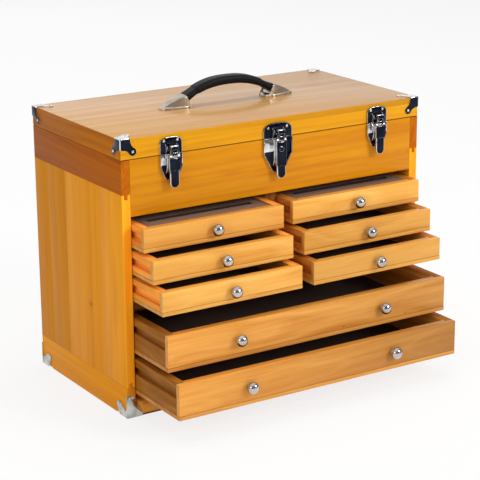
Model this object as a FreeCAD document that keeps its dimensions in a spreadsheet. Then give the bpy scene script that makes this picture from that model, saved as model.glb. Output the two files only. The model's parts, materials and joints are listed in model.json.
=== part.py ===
import FreeCAD, Part
import os
import re
import Sketcher

# A machinist's wooden tool chest: a case with eight felt lined drawers under an open top till,
# a hinged lid with a leather handle, three metal draw latches, and a cover board that is stored
# in a slot under the drawers and closes the front when the drawers are shut.
# Lengths are millimetres. +X is to the right, +Y to the back, +Z up. The origin is the middle of
# the floor under the chest. The drawers stand pulled out, as they are shown in the photograph.

os.makedirs("parts", exist_ok=True)
doc = FreeCAD.newDocument("ToolChest")
V = FreeCAD.Vector

SIZES = [
    ("case_width", 450, "outside width, worked out from the handle and knobs"),
    ("case_depth", 240, "outside depth"),
    ("case_top", 332, "height of the case, up to the seam under the lid"),
    ("lid_height", 26, "height of the lid over the seam"),
    ("sheet", 1, "thickness of the corner caps"),
    ("lid_gap", 0.3, "open seam between the case and the lid"),
    ("board", 12, "stock thickness of the sides, rails and fronts"),
    ("upper_rail_height", 43, "height of the case's upper side rails"),
    ("lower_rail_high", 40, "height of the case's lower side rails"),
    ("tongue", 4.5, "thickness of the tongues on the side rails"),
    ("tongue_reach", 6, "how far a tongue enters the side panel"),
    ("side_joint_a", 58, "first joint between side boards, from the front"),
    ("side_joint_b", 153, "second joint between side boards"),
    ("side_joint_c", 202, "third joint between side boards"),
    ("housing", 4, "how deep the shelf and the till floor enter the sides"),
    ("till_front_drop", 3.5, "how far the till front hangs below the till floor"),
    ("till_floor_thick", 6, "thickness of the till floor"),
    ("back_thick", 8, "thickness of the back panel"),
    ("bottom_thick", 9.5, "thickness of the bottom board"),
    ("shelf_thick", 12, "thickness of the shelf between the small and the wide drawers"),
    ("divider_thick", 16, "thickness of the divider between the small drawers"),
    ("recess", 14, "how far the shut drawers stand behind the case's front"),
    ("felt_thick", 1, "thickness of the felt"),
    ("cover_thick", 12.5, "thickness of the front cover board"),
    ("cover_side_gap", 1.3, "gap beside the cover in its slot"),
    ("cover_end_gap", 3, "gap over the cover when it closes the front"),
    ("cover_gap", 0.3, "gap under the stored cover and behind it"),
    ("wide_clear", 8.2, "from the stored cover to the lowest drawer"),
    ("side_gap", 1, "gap beside each drawer"),
    ("drawer_back_gap", 2, "gap behind a shut drawer"),
    ("drawer_gap", 5, "height between the small drawers, and to the shelf"),
    ("wide_gap", 8, "height between the wide drawers"),
    ("till_clear", 13, "from the top drawers to the till floor"),
    ("drawer_back_thick", 10, "thickness of a drawer's back"),
    ("drawer_bottom", 5, "thickness of a drawer's bottom board"),
    ("front_lap", 7, "part of a drawer front that covers the ends of its sides"),
    ("small_height", 29.5, "height of a small drawer"),
    ("wide_height", 46, "height of a wide drawer"),
    ("groove_height", 10, "height of the groove in a drawer side"),
    ("groove_depth", 5.7, "depth of the groove in a drawer side"),
    ("small_groove_drop", 8, "from a small drawer's rim to its groove"),
    ("wide_groove_drop", 10, "from a wide drawer's rim to its groove"),
    ("slide_gap", 0.3, "gap between a runner and its groove"),
    ("reach_l1", 29.5, "how far the left drawers stand out of the case, top first"),
    ("reach_l2", 51, "second left drawer"),
    ("reach_l3", 71.5, "third left drawer"),
    ("reach_r1", 23, "first right drawer"),
    ("reach_r2", 49, "second right drawer"),
    ("reach_r3", 70.5, "third right drawer"),
    ("reach_w1", 82, "upper wide drawer"),
    ("reach_w2", 107, "lower wide drawer"),
    ("knob_radius", 8, "widest radius of a knob"),
    ("knob_reach", 12.8, "how far a knob stands out"),
    ("knob_neck", 3.4, "radius of a knob's neck"),
    ("knob_foot", 5, "radius of a knob's foot"),
    ("lid_board", 8, "thickness of the lid's top board"),
    ("lid_cap_leg", 14, "edge length of a lid cap's square part"),
    ("lobe_centre", 17.5, "from both edges to the middle of a cap's lobe"),
    ("lobe_radius", 5, "radius of a cap's lobe"),
    ("nail_radius", 1.8, "radius of a nail head"),
    ("nail_head", 0.6, "height of a nail head"),
    ("base_leg", 22.5, "length of a base cap along the front"),
    ("base_front_high", 29, "height of a base cap on the front face"),
    ("base_front_wide", 9, "width of the upper end of that plate"),
    ("base_side_leg", 30, "length of a base cap along the side"),
    ("base_side_high", 18.5, "height of a base cap on the side face"),
    ("base_side_low", 6, "height of the side plate next to the corner"),
    ("hinge_spread", 150, "from the middle to each hinge"),
    ("hinge_width", 40, "width of a hinge"),
    ("hinge_leaf", 14, "height of a hinge leaf"),
    ("hinge_sheet", 1.2, "thickness of a hinge leaf"),
    ("hinge_offset", 2.5, "from the back face to the hinge pin, radius of the knuckles"),
    ("hinge_pin", 1.25, "radius of the hinge pin"),
    ("running_gap", 0.05, "gap around a pin that turns"),
    ("knuckle_gap", 0.3, "gap between neighbouring knuckles"),
    ("latch_spread", 156, "from the middle latch to the outer ones"),
    ("latch_sheet", 1.2, "thickness of the latch plates"),
    ("outer_plate_half", 15.5, "half width of an outer latch"),
    ("outer_base_drop", 32, "from the seam down to the end of an outer base plate"),
    ("outer_taper_drop", 16, "from the seam down to where that plate tapers"),
    ("outer_catch_margin", 4.4, "from the lid's top down to an outer catch plate"),
    ("outer_body_drop", 19, "from the seam down to where an outer lever narrows"),
    ("outer_tongue_drop", 41, "from the seam down to the end of an outer lever"),
    ("outer_nail", 9.5, "from the middle to the nails of an outer catch"),
    ("middle_plate_half", 21.5, "half width of the middle latch"),
    ("middle_base_drop", 44, "from the seam down to the end of the middle base plate"),
    ("middle_taper_drop", 20, "from the seam down to where that plate tapers"),
    ("middle_catch_margin", 6.3, "from the lid's top down to the middle catch plate"),
    ("middle_body_drop", 35, "from the seam down to where the middle lever narrows"),
    ("middle_tongue_drop", 51.3, "from the seam down to the end of the middle lever"),
    ("middle_nail", 14, "from the middle to the rivets of the middle catch"),
    ("taper_half", 8, "half width of a base plate's lower end"),
    ("nail_margin", 9, "from the lid's top down to the nails in the catch plates"),
    ("lever_half", 7.5, "half width of a lever"),
    ("tongue_half", 6.5, "half width of a lever's tongue"),
    ("lever_front", 10.8, "how far a lever's face stands out"),
    ("lever_sheet", 1.4, "thickness of a lever's face"),
    ("lever_pin_out", 5.5, "from the case's front to the lever's pin"),
    ("lever_pin_drop", 3, "from the seam down to the lever's pin"),
    ("lever_pin", 1.1, "radius of the lever's pin"),
    ("claw_pin_out", 9.4, "from the case's front to the claw's pin"),
    ("claw_pin_drop", 1, "from the seam down to the claw's pin"),
    ("claw_pin", 0.8, "radius of the claw's pin"),
    ("barrel", 1.9, "radius of the barrel that holds the claw's pin"),
    ("claw_over", 2.5, "how far a claw reaches over the catch's lip"),
    ("hook_radius", 1.8, "radius of a claw's rolled end"),
    ("claw_half", 3.6, "half width of a claw's barrel"),
    ("claw_head_half", 7, "half width of a claw's head"),
    ("hook_gap", 0.3, "gap between a claw's rolled end and the catch's lip"),
    ("lip_rise", 7, "from the seam up to a catch's lip"),
    ("lip_thick", 3, "height of a catch's lip"),
    ("lip_half", 9, "half width of a catch's lip"),
    ("keyhole_drop", 13, "from the seam down to the lock on the middle lever"),
    ("lock_radius", 3.4, "radius of the lock's face"),
    ("lock_proud", 0.5, "how far the lock's face stands out"),
    ("handle_reach", 102, "half length of the handle over its caps"),
    ("handle_rise", 36.2, "height of the grip's crest over the lid"),
    ("grip_half_width", 11, "half width of the leather grip"),
    ("grip_edge", 2.5, "rounding of the grip's edges"),
    ("cap_tip_radius", 4, "radius of a handle cap's small end"),
    ("cap_wide_radius", 12.5, "radius of a handle cap's wide end"),
    ("cap_base", 3, "thickness of a handle cap's foot"),
    ("sleeve_margin", 0.5, "how far a handle cap's sleeve stays inside its foot"),
]

# Places worked out from the sizes, so that what fits together stays together.
PLACES = {
    "chest_top": "case_top + lid_height",
    "upper_rail_low": "case_top - upper_rail_height",
    "wide_low": "bottom_thick + cover_gap + cover_thick + wide_clear",
    "wide_pitch": "wide_height + wide_gap",
    "shelf_low": "wide_low + wide_pitch + wide_height + drawer_gap",
    "small_low": "shelf_low + shelf_thick + drawer_gap",
    "small_pitch": "small_height + drawer_gap",
    "till_floor_low": "small_low + 2 * small_pitch + small_height + till_clear",
    "till_front_low": "till_floor_low - till_front_drop",
    "cover_width": "case_width - 2 * board - 2 * cover_side_gap",
    "cover_length": "till_front_low - bottom_thick - cover_end_gap",
    "drawer_length": "case_depth - back_thick - recess - drawer_back_gap",
    "outer_base_low": "case_top - outer_base_drop",
    "outer_taper": "case_top - outer_taper_drop",
    "outer_catch_high": "chest_top - outer_catch_margin",
    "outer_body_low": "case_top - outer_body_drop",
    "outer_tongue_low": "case_top - outer_tongue_drop",
    "middle_base_low": "case_top - middle_base_drop",
    "middle_taper": "case_top - middle_taper_drop",
    "middle_catch_high": "chest_top - middle_catch_margin",
    "middle_body_low": "case_top - middle_body_drop",
    "middle_tongue_low": "case_top - middle_tongue_drop",
    "nail_height": "chest_top - nail_margin",
    "lever_pin_high": "case_top - lever_pin_drop",
    "claw_pin_high": "case_top - claw_pin_drop",
    "lip_low": "case_top + lip_rise",
    "claw_high": "lip_low + lip_thick + claw_over",
    "keyhole_high": "case_top - keyhole_drop",
    "cap_tip": "handle_reach - cap_tip_radius",
    "cap_wide": "handle_reach * 0.647",
}
NEARLY_ZERO = 1e-9

sheet = doc.addObject("Spreadsheet::Sheet", "Sizes")
for row, (alias, size, meaning) in enumerate(SIZES, start=1):
    sheet.set("A%d" % row, meaning)
    sheet.set("B%d" % row, str(size))
    sheet.setAlias("B%d" % row, alias)
doc.recompute()
ALIASES = {alias for alias, size, meaning in SIZES}
NODES = {}


def linked(text):
    """Write an expression so that each named size is read from the sheet."""
    def read(found):
        word = found.group(0)
        if word in PLACES:
            return "(%s)" % linked(PLACES[word])
        return "Sizes." + word if word in ALIASES else word

    return re.sub(r"[a-z][a-z_0-9]*", read, str(text))


def measured(text):
    """The number that an expression comes to."""
    return float(sheet.evalExpression(linked(text)))


def bind(item, setting, text):
    item.setExpression(setting, linked(text))


def place(item, x, y, z):
    bind(item, "Placement.Base.x", x)
    bind(item, "Placement.Base.y", y)
    bind(item, "Placement.Base.z", z)


def block(label, x_span, y_span, z_span):
    """A straight board, given by where it starts and ends along each axis."""
    item = doc.addObject("Part::Box", label)
    for setting, (start, end) in zip(("Length", "Width", "Height"), (x_span, y_span, z_span)):
        bind(item, setting, "(%s) - (%s)" % (end, start))
    place(item, x_span[0], y_span[0], z_span[0])
    return item


def round_bar(label, direction, radius, start, length):
    """A cylinder that starts at a point and runs along a direction."""
    item = doc.addObject("Part::Cylinder", label)
    item.Placement = FreeCAD.Placement(V(0, 0, 0), FreeCAD.Rotation(V(0, 0, 1), direction))
    bind(item, "Radius", radius)
    bind(item, "Height", length)
    place(item, *start)
    return item


def joined(label, items):
    item = doc.addObject("Part::MultiFuse", label)
    item.Shapes = items
    item.Refine = True
    return item


def carved(label, base, tool):
    item = doc.addObject("Part::Cut", label)
    item.Base = base
    item.Tool = tool
    return item


def mirrored(label, source, normal=V(1, 0, 0)):
    item = doc.addObject("Part::Mirroring", label)
    item.Source = source
    item.Normal = normal
    item.Base = V(0, 0, 0)
    return item


def node(name, items):
    """Keep one solid, or a group of separate solids, as a named piece of the chest."""
    if len(items) == 1:
        NODES[name] = items[0]
        return
    group = doc.addObject("Part::Compound", name + "_group")
    group.Links = items
    NODES[name] = group


def outline(body, plane_role, corners):
    """A closed sketch of straight lines on one of the body's planes, corner by corner."""
    sketch = body.newObject("Sketcher::SketchObject", body.Name + "_outline")
    plane = [item for item in body.Origin.OriginFeatures if item.Role == plane_role][0]
    sketch.AttachmentSupport = (plane, [""])
    sketch.MapMode = "FlatFace"
    points = [[measured(text) for text in corner] for corner in corners]
    count = len(points)
    for index in range(count):
        start = points[index]
        end = points[(index + 1) % count]
        sketch.addGeometry(Part.LineSegment(V(start[0], start[1], 0), V(end[0], end[1], 0)), False)
    for index in range(count):
        sketch.addConstraint(Sketcher.Constraint("Coincident", index, 2, (index + 1) % count, 1))
    for index in range(count):
        for way, letter in ((0, "X"), (1, "Y")):
            size = points[index][way]
            if abs(size) < NEARLY_ZERO:
                sketch.addConstraint(Sketcher.Constraint("PointOnObject", index, 1, -1 - (1 - way)))
                continue
            made = sketch.addConstraint(Sketcher.Constraint("Distance" + letter, -1, 1, index, 1, size))
            name = "corner%d%s" % (index, letter)
            sketch.renameConstraint(made, name)
            sketch.setExpression("Constraints." + name, linked(corners[index][way]))
    return sketch


def plate(label, plane_role, corners, start, thickness):
    """A flat piece with a straight sided outline. It starts at a place along the plane's axis
    and grows along that axis: toward +X, +Y or +Z."""
    body = doc.addObject("PartDesign::Body", label)
    sketch = outline(body, plane_role, corners)
    away = "-1" if plane_role == "XZ_Plane" else "1"
    bind(sketch, "AttachmentOffset.Base.z", "(%s) * (%s)" % (start, away))
    doc.recompute()
    pad = body.newObject("PartDesign::Pad", label + "_pad")
    pad.Profile = sketch
    pad.Reversed = plane_role == "XZ_Plane"
    bind(pad, "Length", thickness)
    doc.recompute()
    return body


def turned(label, corners):
    """A turned piece: its half outline, radius and height, spun about the upright axis."""
    body = doc.addObject("PartDesign::Body", label)
    sketch = outline(body, "XZ_Plane", corners)
    doc.recompute()
    spin = body.newObject("PartDesign::Revolution", label + "_spin")
    spin.Profile = sketch
    spin.ReferenceAxis = (sketch, ["V_Axis"])
    spin.Angle = 360
    doc.recompute()
    return body


# Where the main faces lie.
side = "case_width / 2"
inner = "(case_width / 2 - board)"
front = "(-case_depth / 2)"
back = "(case_depth / 2)"
back_inner = "(case_depth / 2 - back_thick)"
shut_front = "(-case_depth / 2 + recess)"

# The base caps are let into the underside, so the chest stands flush on its bottom board and caps.
edge_x = "(case_width / 2 + sheet - (%s))"
edge_y = "(-case_depth / 2 - sheet + (%s))"


def four_corners(label, item):
    """The piece drawn for the front right corner and its copies at the other three corners."""
    left = mirrored(label + "_front_left", item)
    right_back = mirrored(label + "_back_right", item, V(0, 1, 0))
    left_back = mirrored(label + "_back_left", left, V(0, 1, 0))
    return [item, left, right_back, left_back]


def cap_underside(label):
    return block(label, (edge_x % "base_leg", side), (front, edge_y % "base_side_leg"), ("0", "sheet"))


cap_beds = joined("cap_beds", four_corners("cap_bed", cap_underside("cap_bed")))

# Sides of the case. An upper and a lower rail hold four upright boards between them. Each rail has
# a tongue that enters a groove in the ends of the boards.
tongue_from = "case_width / 2 - board / 2 - tongue / 2"
tongue_to = "case_width / 2 - board / 2 + tongue / 2"
shelf_housing = block("shelf_housing", (inner, inner + " + housing"), (shut_front, back_inner),
                      ("shelf_low", "shelf_low + shelf_thick"))
till_housing = block("till_housing", (inner, inner + " + housing"), (front + " + board", back_inner),
                     ("till_floor_low", "till_floor_low + till_floor_thick"))


def side_rail(label, z_span, tongue_span):
    rail = block(label + "_rail", (inner, side), (front, back), z_span)
    lip = block(label + "_tongue", (tongue_from, tongue_to), (front, back), tongue_span)
    return joined(label, [rail, lip])


upper_rail = side_rail("upper", ("upper_rail_low", "case_top"),
                       ("upper_rail_low - tongue_reach", "upper_rail_low"))
lower_whole = side_rail("lower_whole", ("0", "lower_rail_high"),
                        ("lower_rail_high", "lower_rail_high + tongue_reach"))
lower_rail = carved("lower", lower_whole, cap_beds)
node("side_upper_rail_right", [upper_rail])
node("side_upper_rail_left", [mirrored("upper_left", upper_rail)])
node("side_lower_rail_right", [lower_rail])
node("side_lower_rail_left", [mirrored("lower_left", lower_rail)])

groove_upper = block("groove_upper", (tongue_from, tongue_to), (front, back),
                     ("upper_rail_low - tongue_reach", "upper_rail_low"))
groove_lower = block("groove_lower", (tongue_from, tongue_to), (front, back),
                     ("lower_rail_high", "lower_rail_high + tongue_reach"))
panel_cuts = joined("panel_cuts", [groove_upper, groove_lower, shelf_housing, till_housing])
joints = ["0", "side_joint_a", "side_joint_b", "side_joint_c", "case_depth"]
side_boards = []
for number in range(4):
    span = ("-case_depth / 2 + " + joints[number], "-case_depth / 2 + " + joints[number + 1])
    plank = block("plank%d" % number, (inner, side), span, ("lower_rail_high", "upper_rail_low"))
    side_boards.append(carved("side_board%d" % number, plank, panel_cuts))
node("side_panel_right", side_boards)
node("side_panel_left", [mirrored("side_board_left%d" % number, item)
                         for number, item in enumerate(side_boards)])

# Boards between the sides.
full = ("-" + inner, inner)
housed = ("-%s - housing" % inner, inner + " + housing")
node("till_front", [block("till_front_board", full, (front, front + " + board"), ("till_front_low", "case_top"))])
till_span = ("till_floor_low", "till_floor_low + till_floor_thick")
node("till_floor", [block("till_floor_board", housed, (front + " + board", back_inner), till_span)])
node("till_felt", [block("till_felt_sheet", full, (front + " + board", back_inner),
                         (till_span[1], till_span[1] + " + felt_thick"))])
back_whole = block("back_whole", full, (back_inner, back), ("0", "case_top"))
bottom_whole = block("bottom_whole", full, (front, back_inner), ("0", "bottom_thick"))
node("back_panel", [carved("back_board", back_whole, cap_beds)])
node("bottom_panel", [carved("bottom_board", bottom_whole, cap_beds)])
node("drawer_shelf", [block("shelf_board", housed, (shut_front, back_inner),
                            ("shelf_low", "shelf_low + shelf_thick"))])
node("centre_divider", [block("divider_board", ("-divider_thick / 2", "divider_thick / 2"),
                              (shut_front, back_inner), ("shelf_low + shelf_thick", "till_floor_low"))])

# Drawer positions: name, outer edges, underside, height, reach out of the case, groove, knobs.
left_span = ("-%s + side_gap" % inner, "-divider_thick / 2 - side_gap")
right_span = ("divider_thick / 2 + side_gap", inner + " - side_gap")
wide_span = ("-%s + side_gap" % inner, inner + " - side_gap")
DRAWERS = []
for rank in (1, 2, 3):
    low = "small_low + small_pitch * %d" % (3 - rank)
    for letter, span in (("l", left_span), ("r", right_span)):
        middle = "((%s) + (%s)) / 2" % span
        where = "left" if letter == "l" else "right"
        DRAWERS.append(("drawer_%s_%d" % (where, rank), span, low, "small_height",
                        "reach_%s%d" % (letter, rank), "small_groove_drop", [middle]))
for rank in (1, 2):
    low = "wide_low + wide_pitch * %d" % (2 - rank)
    DRAWERS.append(("drawer_wide_%d" % rank, wide_span, low, "wide_height", "reach_w%d" % rank,
                    "wide_groove_drop", ["((%s) + (%s)) / 2" % span for span in (left_span, right_span)]))

# Runners: a strip on each wall beside each drawer, glued on, that enters the drawer's groove.
runner_proud = "side_gap + groove_depth - slide_gap"
runners = []
for name, span, low, height, reach, drop, knobs in DRAWERS:
    top = "%s + %s - %s - slide_gap" % (low, height, drop)
    bottom = "%s - (groove_height - 2 * slide_gap)" % top
    y_span = (shut_front + " + front_lap + slide_gap", back_inner)
    left_wall = "(%s) - side_gap" % span[0]
    right_wall = "(%s) + side_gap" % span[1]
    runners.append(block(name + "_runner_a", (left_wall, left_wall + " + " + runner_proud),
                         y_span, (bottom, top)))
    runners.append(block(name + "_runner_b", ("%s - (%s)" % (right_wall, runner_proud), right_wall),
                         y_span, (bottom, top)))
node("drawer_runners", runners)

# Knob, turned: foot, neck and a domed head.
knob_outline = [("0", "0"), ("knob_foot", "0"), ("knob_foot", "knob_reach * 0.08"),
                ("knob_neck", "knob_reach * 0.2"), ("knob_neck", "knob_reach * 0.42"),
                ("knob_radius * 0.86", "knob_reach * 0.56"), ("knob_radius", "knob_reach * 0.68"),
                ("knob_radius * 0.94", "knob_reach * 0.82"), ("knob_radius * 0.7", "knob_reach * 0.94"),
                ("knob_radius * 0.35", "knob_reach * 0.99"), ("0", "knob_reach")]


def knob(label, x, y, z):
    item = turned(label, knob_outline)
    item.Placement = FreeCAD.Placement(V(0, 0, 0), FreeCAD.Rotation(V(0, 0, 1), V(0, -1, 0)))
    place(item, x, y, z)
    return item


def drawer(name, span, low, height, reach, drop, knobs):
    """A drawer: lapped front, two grooved sides, back, a bottom board under them all, and felt."""
    x0, x1 = "(%s)" % span[0], "(%s)" % span[1]
    y0 = "(-case_depth / 2 - %s)" % reach
    y1 = "(%s + drawer_length)" % y0
    rim = "(%s + %s)" % (low, height)
    wall = ("%s + drawer_bottom" % low, rim)
    lap = block(name + "_lap", (x0, x1), (y0, y0 + " + front_lap"), wall)
    core = block(name + "_core", (x0 + " + board", x1 + " - board"),
                 (y0 + " + front_lap", y0 + " + board"), wall)
    face = joined(name + "_front", [lap, core])
    groove = ("%s - %s - groove_height" % (rim, drop), "%s - %s" % (rim, drop))
    sides = []
    for letter, wall_x, groove_x in (("a", (x0, x0 + " + board"), (x0, x0 + " + groove_depth")),
                                     ("b", (x1 + " - board", x1), (x1 + " - groove_depth", x1))):
        length = (y0 + " + front_lap", y1)
        whole = block("%s_side_%s_whole" % (name, letter), wall_x, length, wall)
        channel = block("%s_groove_%s" % (name, letter), groove_x, length, groove)
        sides.append(carved("%s_side_%s" % (name, letter), whole, channel))
    rear = block(name + "_back", (x0 + " + board", x1 + " - board"), (y1 + " - drawer_back_thick", y1), wall)
    base = block(name + "_bottom", (x0, x1), (y0, y1), (low, "%s + drawer_bottom" % low))
    node(name + "_box", [face] + sides + [rear, base])
    node(name + "_felt", [block(name + "_felt_sheet", (x0 + " + board", x1 + " - board"),
                                (y0 + " + board", y1 + " - drawer_back_thick"),
                                (wall[0], wall[0] + " + felt_thick"))])
    middle = "%s + (%s) / 2" % (low, height)
    node(name + ("_knob" if len(knobs) == 1 else "_knobs"),
         [knob("%s_knob_%d" % (name, number), x, y0, middle) for number, x in enumerate(knobs)])


for facts in DRAWERS:
    drawer(*facts)

# Front cover board, stored in the slot over the bottom board.
cover_low = "bottom_thick + cover_gap"
cover_back = "(case_depth / 2 - back_thick - cover_gap)"
node("front_cover", [block("cover_board", ("-cover_width / 2", "cover_width / 2"),
                           (cover_back + " - cover_length", cover_back),
                           (cover_low, cover_low + " + cover_thick"))])

# Lid: four rails under a top board.
lid_low = "case_top + lid_gap"
rail_high = "chest_top - lid_board"
node("lid_top", [block("lid_top_board", ("-" + side, side), (front, back), (rail_high, "chest_top"))])
node("lid_front_rail", [block("lid_front_board", ("-" + side, side), (front, front + " + board"),
                              (lid_low, rail_high))])
node("lid_back_rail", [block("lid_back_board", ("-" + side, side), (back + " - board", back),
                             (lid_low, rail_high))])
lid_side = block("lid_side_board", (inner, side), (front + " + board", back + " - board"), (lid_low, rail_high))
node("lid_side_rails", [lid_side, mirrored("lid_side_left", lid_side)])

# Corner caps of pressed sheet. Each has one plate on the front or back face, one on the side face
# and one on the lid's top or under the case.


def disc_on(label, face, x, y, z, radius, thickness):
    """A flat disc on the front (outward -Y), side (outward +X) or top (outward +Z) face."""
    ways = {"front": V(0, -1, 0), "side": V(1, 0, 0), "top": V(0, 0, 1)}
    return round_bar(label, ways[face], radius, (x, y, z), thickness)


def cap_plate(label, face, leg, centre, radius):
    """A square plate at the corner with a slanting strip that ends in a round lobe."""
    along, down = "(case_width / 2 + sheet - (%s))", "(chest_top + sheet - (%s))"
    side_along = "(-case_depth / 2 - sheet + (%s))"
    slim = "(%s) * 0.7" % radius
    strip = [("0", "0"), (leg, "0"), (leg, "(%s) - (%s)" % (leg, slim)),
             ("%s + (%s)" % (centre, slim), "%s - (%s)" % (centre, slim)),
             ("%s - (%s)" % (centre, slim), "%s + (%s)" % (centre, slim)),
             ("(%s) - (%s)" % (leg, slim), leg), ("0", leg)]
    if face == "front":
        corners = [(along % a, down % b) for a, b in strip]
        item = plate(label, "XZ_Plane", corners, "-case_depth / 2 - sheet", "sheet")
        lobe = disc_on(label + "_lobe", "front", along % centre, front, down % centre, radius, "sheet")
    elif face == "side":
        corners = [(side_along % a, down % b) for a, b in strip]
        item = plate(label, "YZ_Plane", corners, "case_width / 2", "sheet")
        lobe = disc_on(label + "_lobe", "side", side, side_along % centre, down % centre, radius, "sheet")
    else:
        corners = [(along % a, side_along % b) for a, b in strip]
        item = plate(label, "XY_Plane", corners, "chest_top", "sheet")
        lobe = disc_on(label + "_lobe", "top", along % centre, side_along % centre, "chest_top", radius, "sheet")
    return [item, lobe]


lid_cap = joined("lid_cap", cap_plate("lid_cap_front", "front", "lid_cap_leg", "lobe_centre", "lobe_radius")
                 + cap_plate("lid_cap_side", "side", "lid_cap_leg", "lobe_centre", "lobe_radius")
                 + cap_plate("lid_cap_over", "top", "lid_cap_leg", "lobe_centre", "lobe_radius"))
node("lid_corner_caps", four_corners("lid_cap", lid_cap))

front_corners = [("0", "0"), ("base_leg", "0"), ("base_leg", "base_leg * 0.14"),
                 ("base_front_wide * 1.35", "bottom_thick - sheet / 2"),
                 ("base_front_wide", "base_front_high * 0.5"),
                 ("base_front_wide", "base_front_high"), ("0", "base_front_high")]
side_corners = [("0", "0"), ("base_side_leg", "0"), ("base_side_leg", "base_side_high * 0.75"),
                ("base_side_leg * 0.87", "base_side_high"), ("base_side_leg * 0.7", "base_side_high"),
                ("base_side_leg * 0.55", "base_side_high * 0.7"),
                ("base_side_leg * 0.3", "base_side_low"), ("0", "base_side_low")]
base_front = plate("base_cap_front", "XZ_Plane", [(edge_x % a, b) for a, b in front_corners],
                   "-case_depth / 2 - sheet", "sheet")
base_side = plate("base_cap_side", "YZ_Plane", [(edge_y % a, b) for a, b in side_corners], side, "sheet")
base_cap = joined("base_cap", [base_front, base_side, cap_underside("base_cap_under")])
node("base_corner_caps", four_corners("base_cap", base_cap))

# Nail heads on the corner caps.
lobe_x = edge_x % "lobe_centre"
lobe_y = edge_y % "lobe_centre"
lobe_z = "(chest_top + sheet - lobe_centre)"
lid_nails = []
for label, face, x, y, z in (("lid_nail_a", "front", lobe_x, front + " - sheet", lobe_z),
                             ("lid_nail_b", "side", side + " + sheet", lobe_y, lobe_z),
                             ("lid_nail_c", "top", lobe_x, lobe_y, "chest_top + sheet")):
    lid_nails += four_corners(label, disc_on(label, face, x, y, z, "nail_radius", "nail_head"))
case_nails = []
nail_front_high = "base_front_high - nail_radius - sheet"
for label, face, x, y, z in (("case_nail_a", "front", edge_x % "base_front_wide * 0.5", front + " - sheet",
                              nail_front_high),
                             ("case_nail_b", "side", side + " + sheet", edge_y % "base_side_leg * 0.78",
                              "base_side_high * 0.75")):
    case_nails += four_corners(label, disc_on(label, face, x, y, z, "nail_radius", "nail_head"))
node("case_nails", case_nails)

# Hinges: two leaves with interlocking knuckles on a pin, screwed to the back.
hinge_y = "(case_depth / 2 + hinge_offset)"
knuckle_step = "(hinge_width / 5)"


def hinge(label, x):
    start = "(%s) - hinge_width / 2" % x
    leaf_y = (back, back + " + hinge_sheet")
    wide = (start, start + " + hinge_width")
    leaf_low = block(label + "_leaf_low", wide, leaf_y, ("case_top - hinge_leaf", "case_top - lid_gap"))
    leaf_high = block(label + "_leaf_high", wide, leaf_y, ("case_top + lid_gap", "case_top + hinge_leaf"))
    low_knuckles, high_knuckles, low_space, high_space = [], [], [], []
    for number in range(5):
        from_x = "%s + %s * %d + knuckle_gap / 2" % (start, knuckle_step, number)
        space_x = "%s + %s * %d - knuckle_gap / 2" % (start, knuckle_step, number)
        barrel = round_bar("%s_knuckle%d" % (label, number), V(1, 0, 0), "hinge_offset",
                           (from_x, hinge_y, "case_top"), knuckle_step + " - knuckle_gap")
        room = round_bar("%s_room%d" % (label, number), V(1, 0, 0), "hinge_offset + knuckle_gap",
                         (space_x, hinge_y, "case_top"), knuckle_step + " + knuckle_gap")
        (high_knuckles if number % 2 else low_knuckles).append(barrel)
        (low_space if number % 2 else high_space).append(room)
    axle = round_bar(label + "_pin", V(1, 0, 0), "hinge_pin", (start, hinge_y, "case_top"), "hinge_width")
    hole = round_bar(label + "_hole", V(1, 0, 0), "hinge_pin + running_gap",
                     (start, hinge_y, "case_top"), "hinge_width")
    low_leaf = carved(label + "_low_notched", leaf_low, joined(label + "_low_space", low_space))
    high_leaf = carved(label + "_high_notched", leaf_high, joined(label + "_high_space", high_space))
    low_all = joined(label + "_low_all", [low_leaf] + low_knuckles)
    high_all = joined(label + "_high_all", [high_leaf] + high_knuckles)
    axle_two = round_bar(label + "_pin_space", V(1, 0, 0), "hinge_pin", (start, hinge_y, "case_top"), "hinge_width")
    return (carved(label + "_case_leaf", low_all, axle_two), carved(label + "_lid_leaf", high_all, hole), axle)


left_hinge = hinge("hinge_left", "-hinge_spread")
right_hinge = hinge("hinge_right", "hinge_spread")
node("hinge_case_leaves", [left_hinge[0], left_hinge[2], right_hinge[0], right_hinge[2]])
node("hinge_lid_leaves", [left_hinge[1], right_hinge[1]])

# Draw latches: a base plate with two ears on the case, a lever that turns on a pin between the
# ears, a claw hung on the lever, and a catch plate with a lip on the lid.


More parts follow.
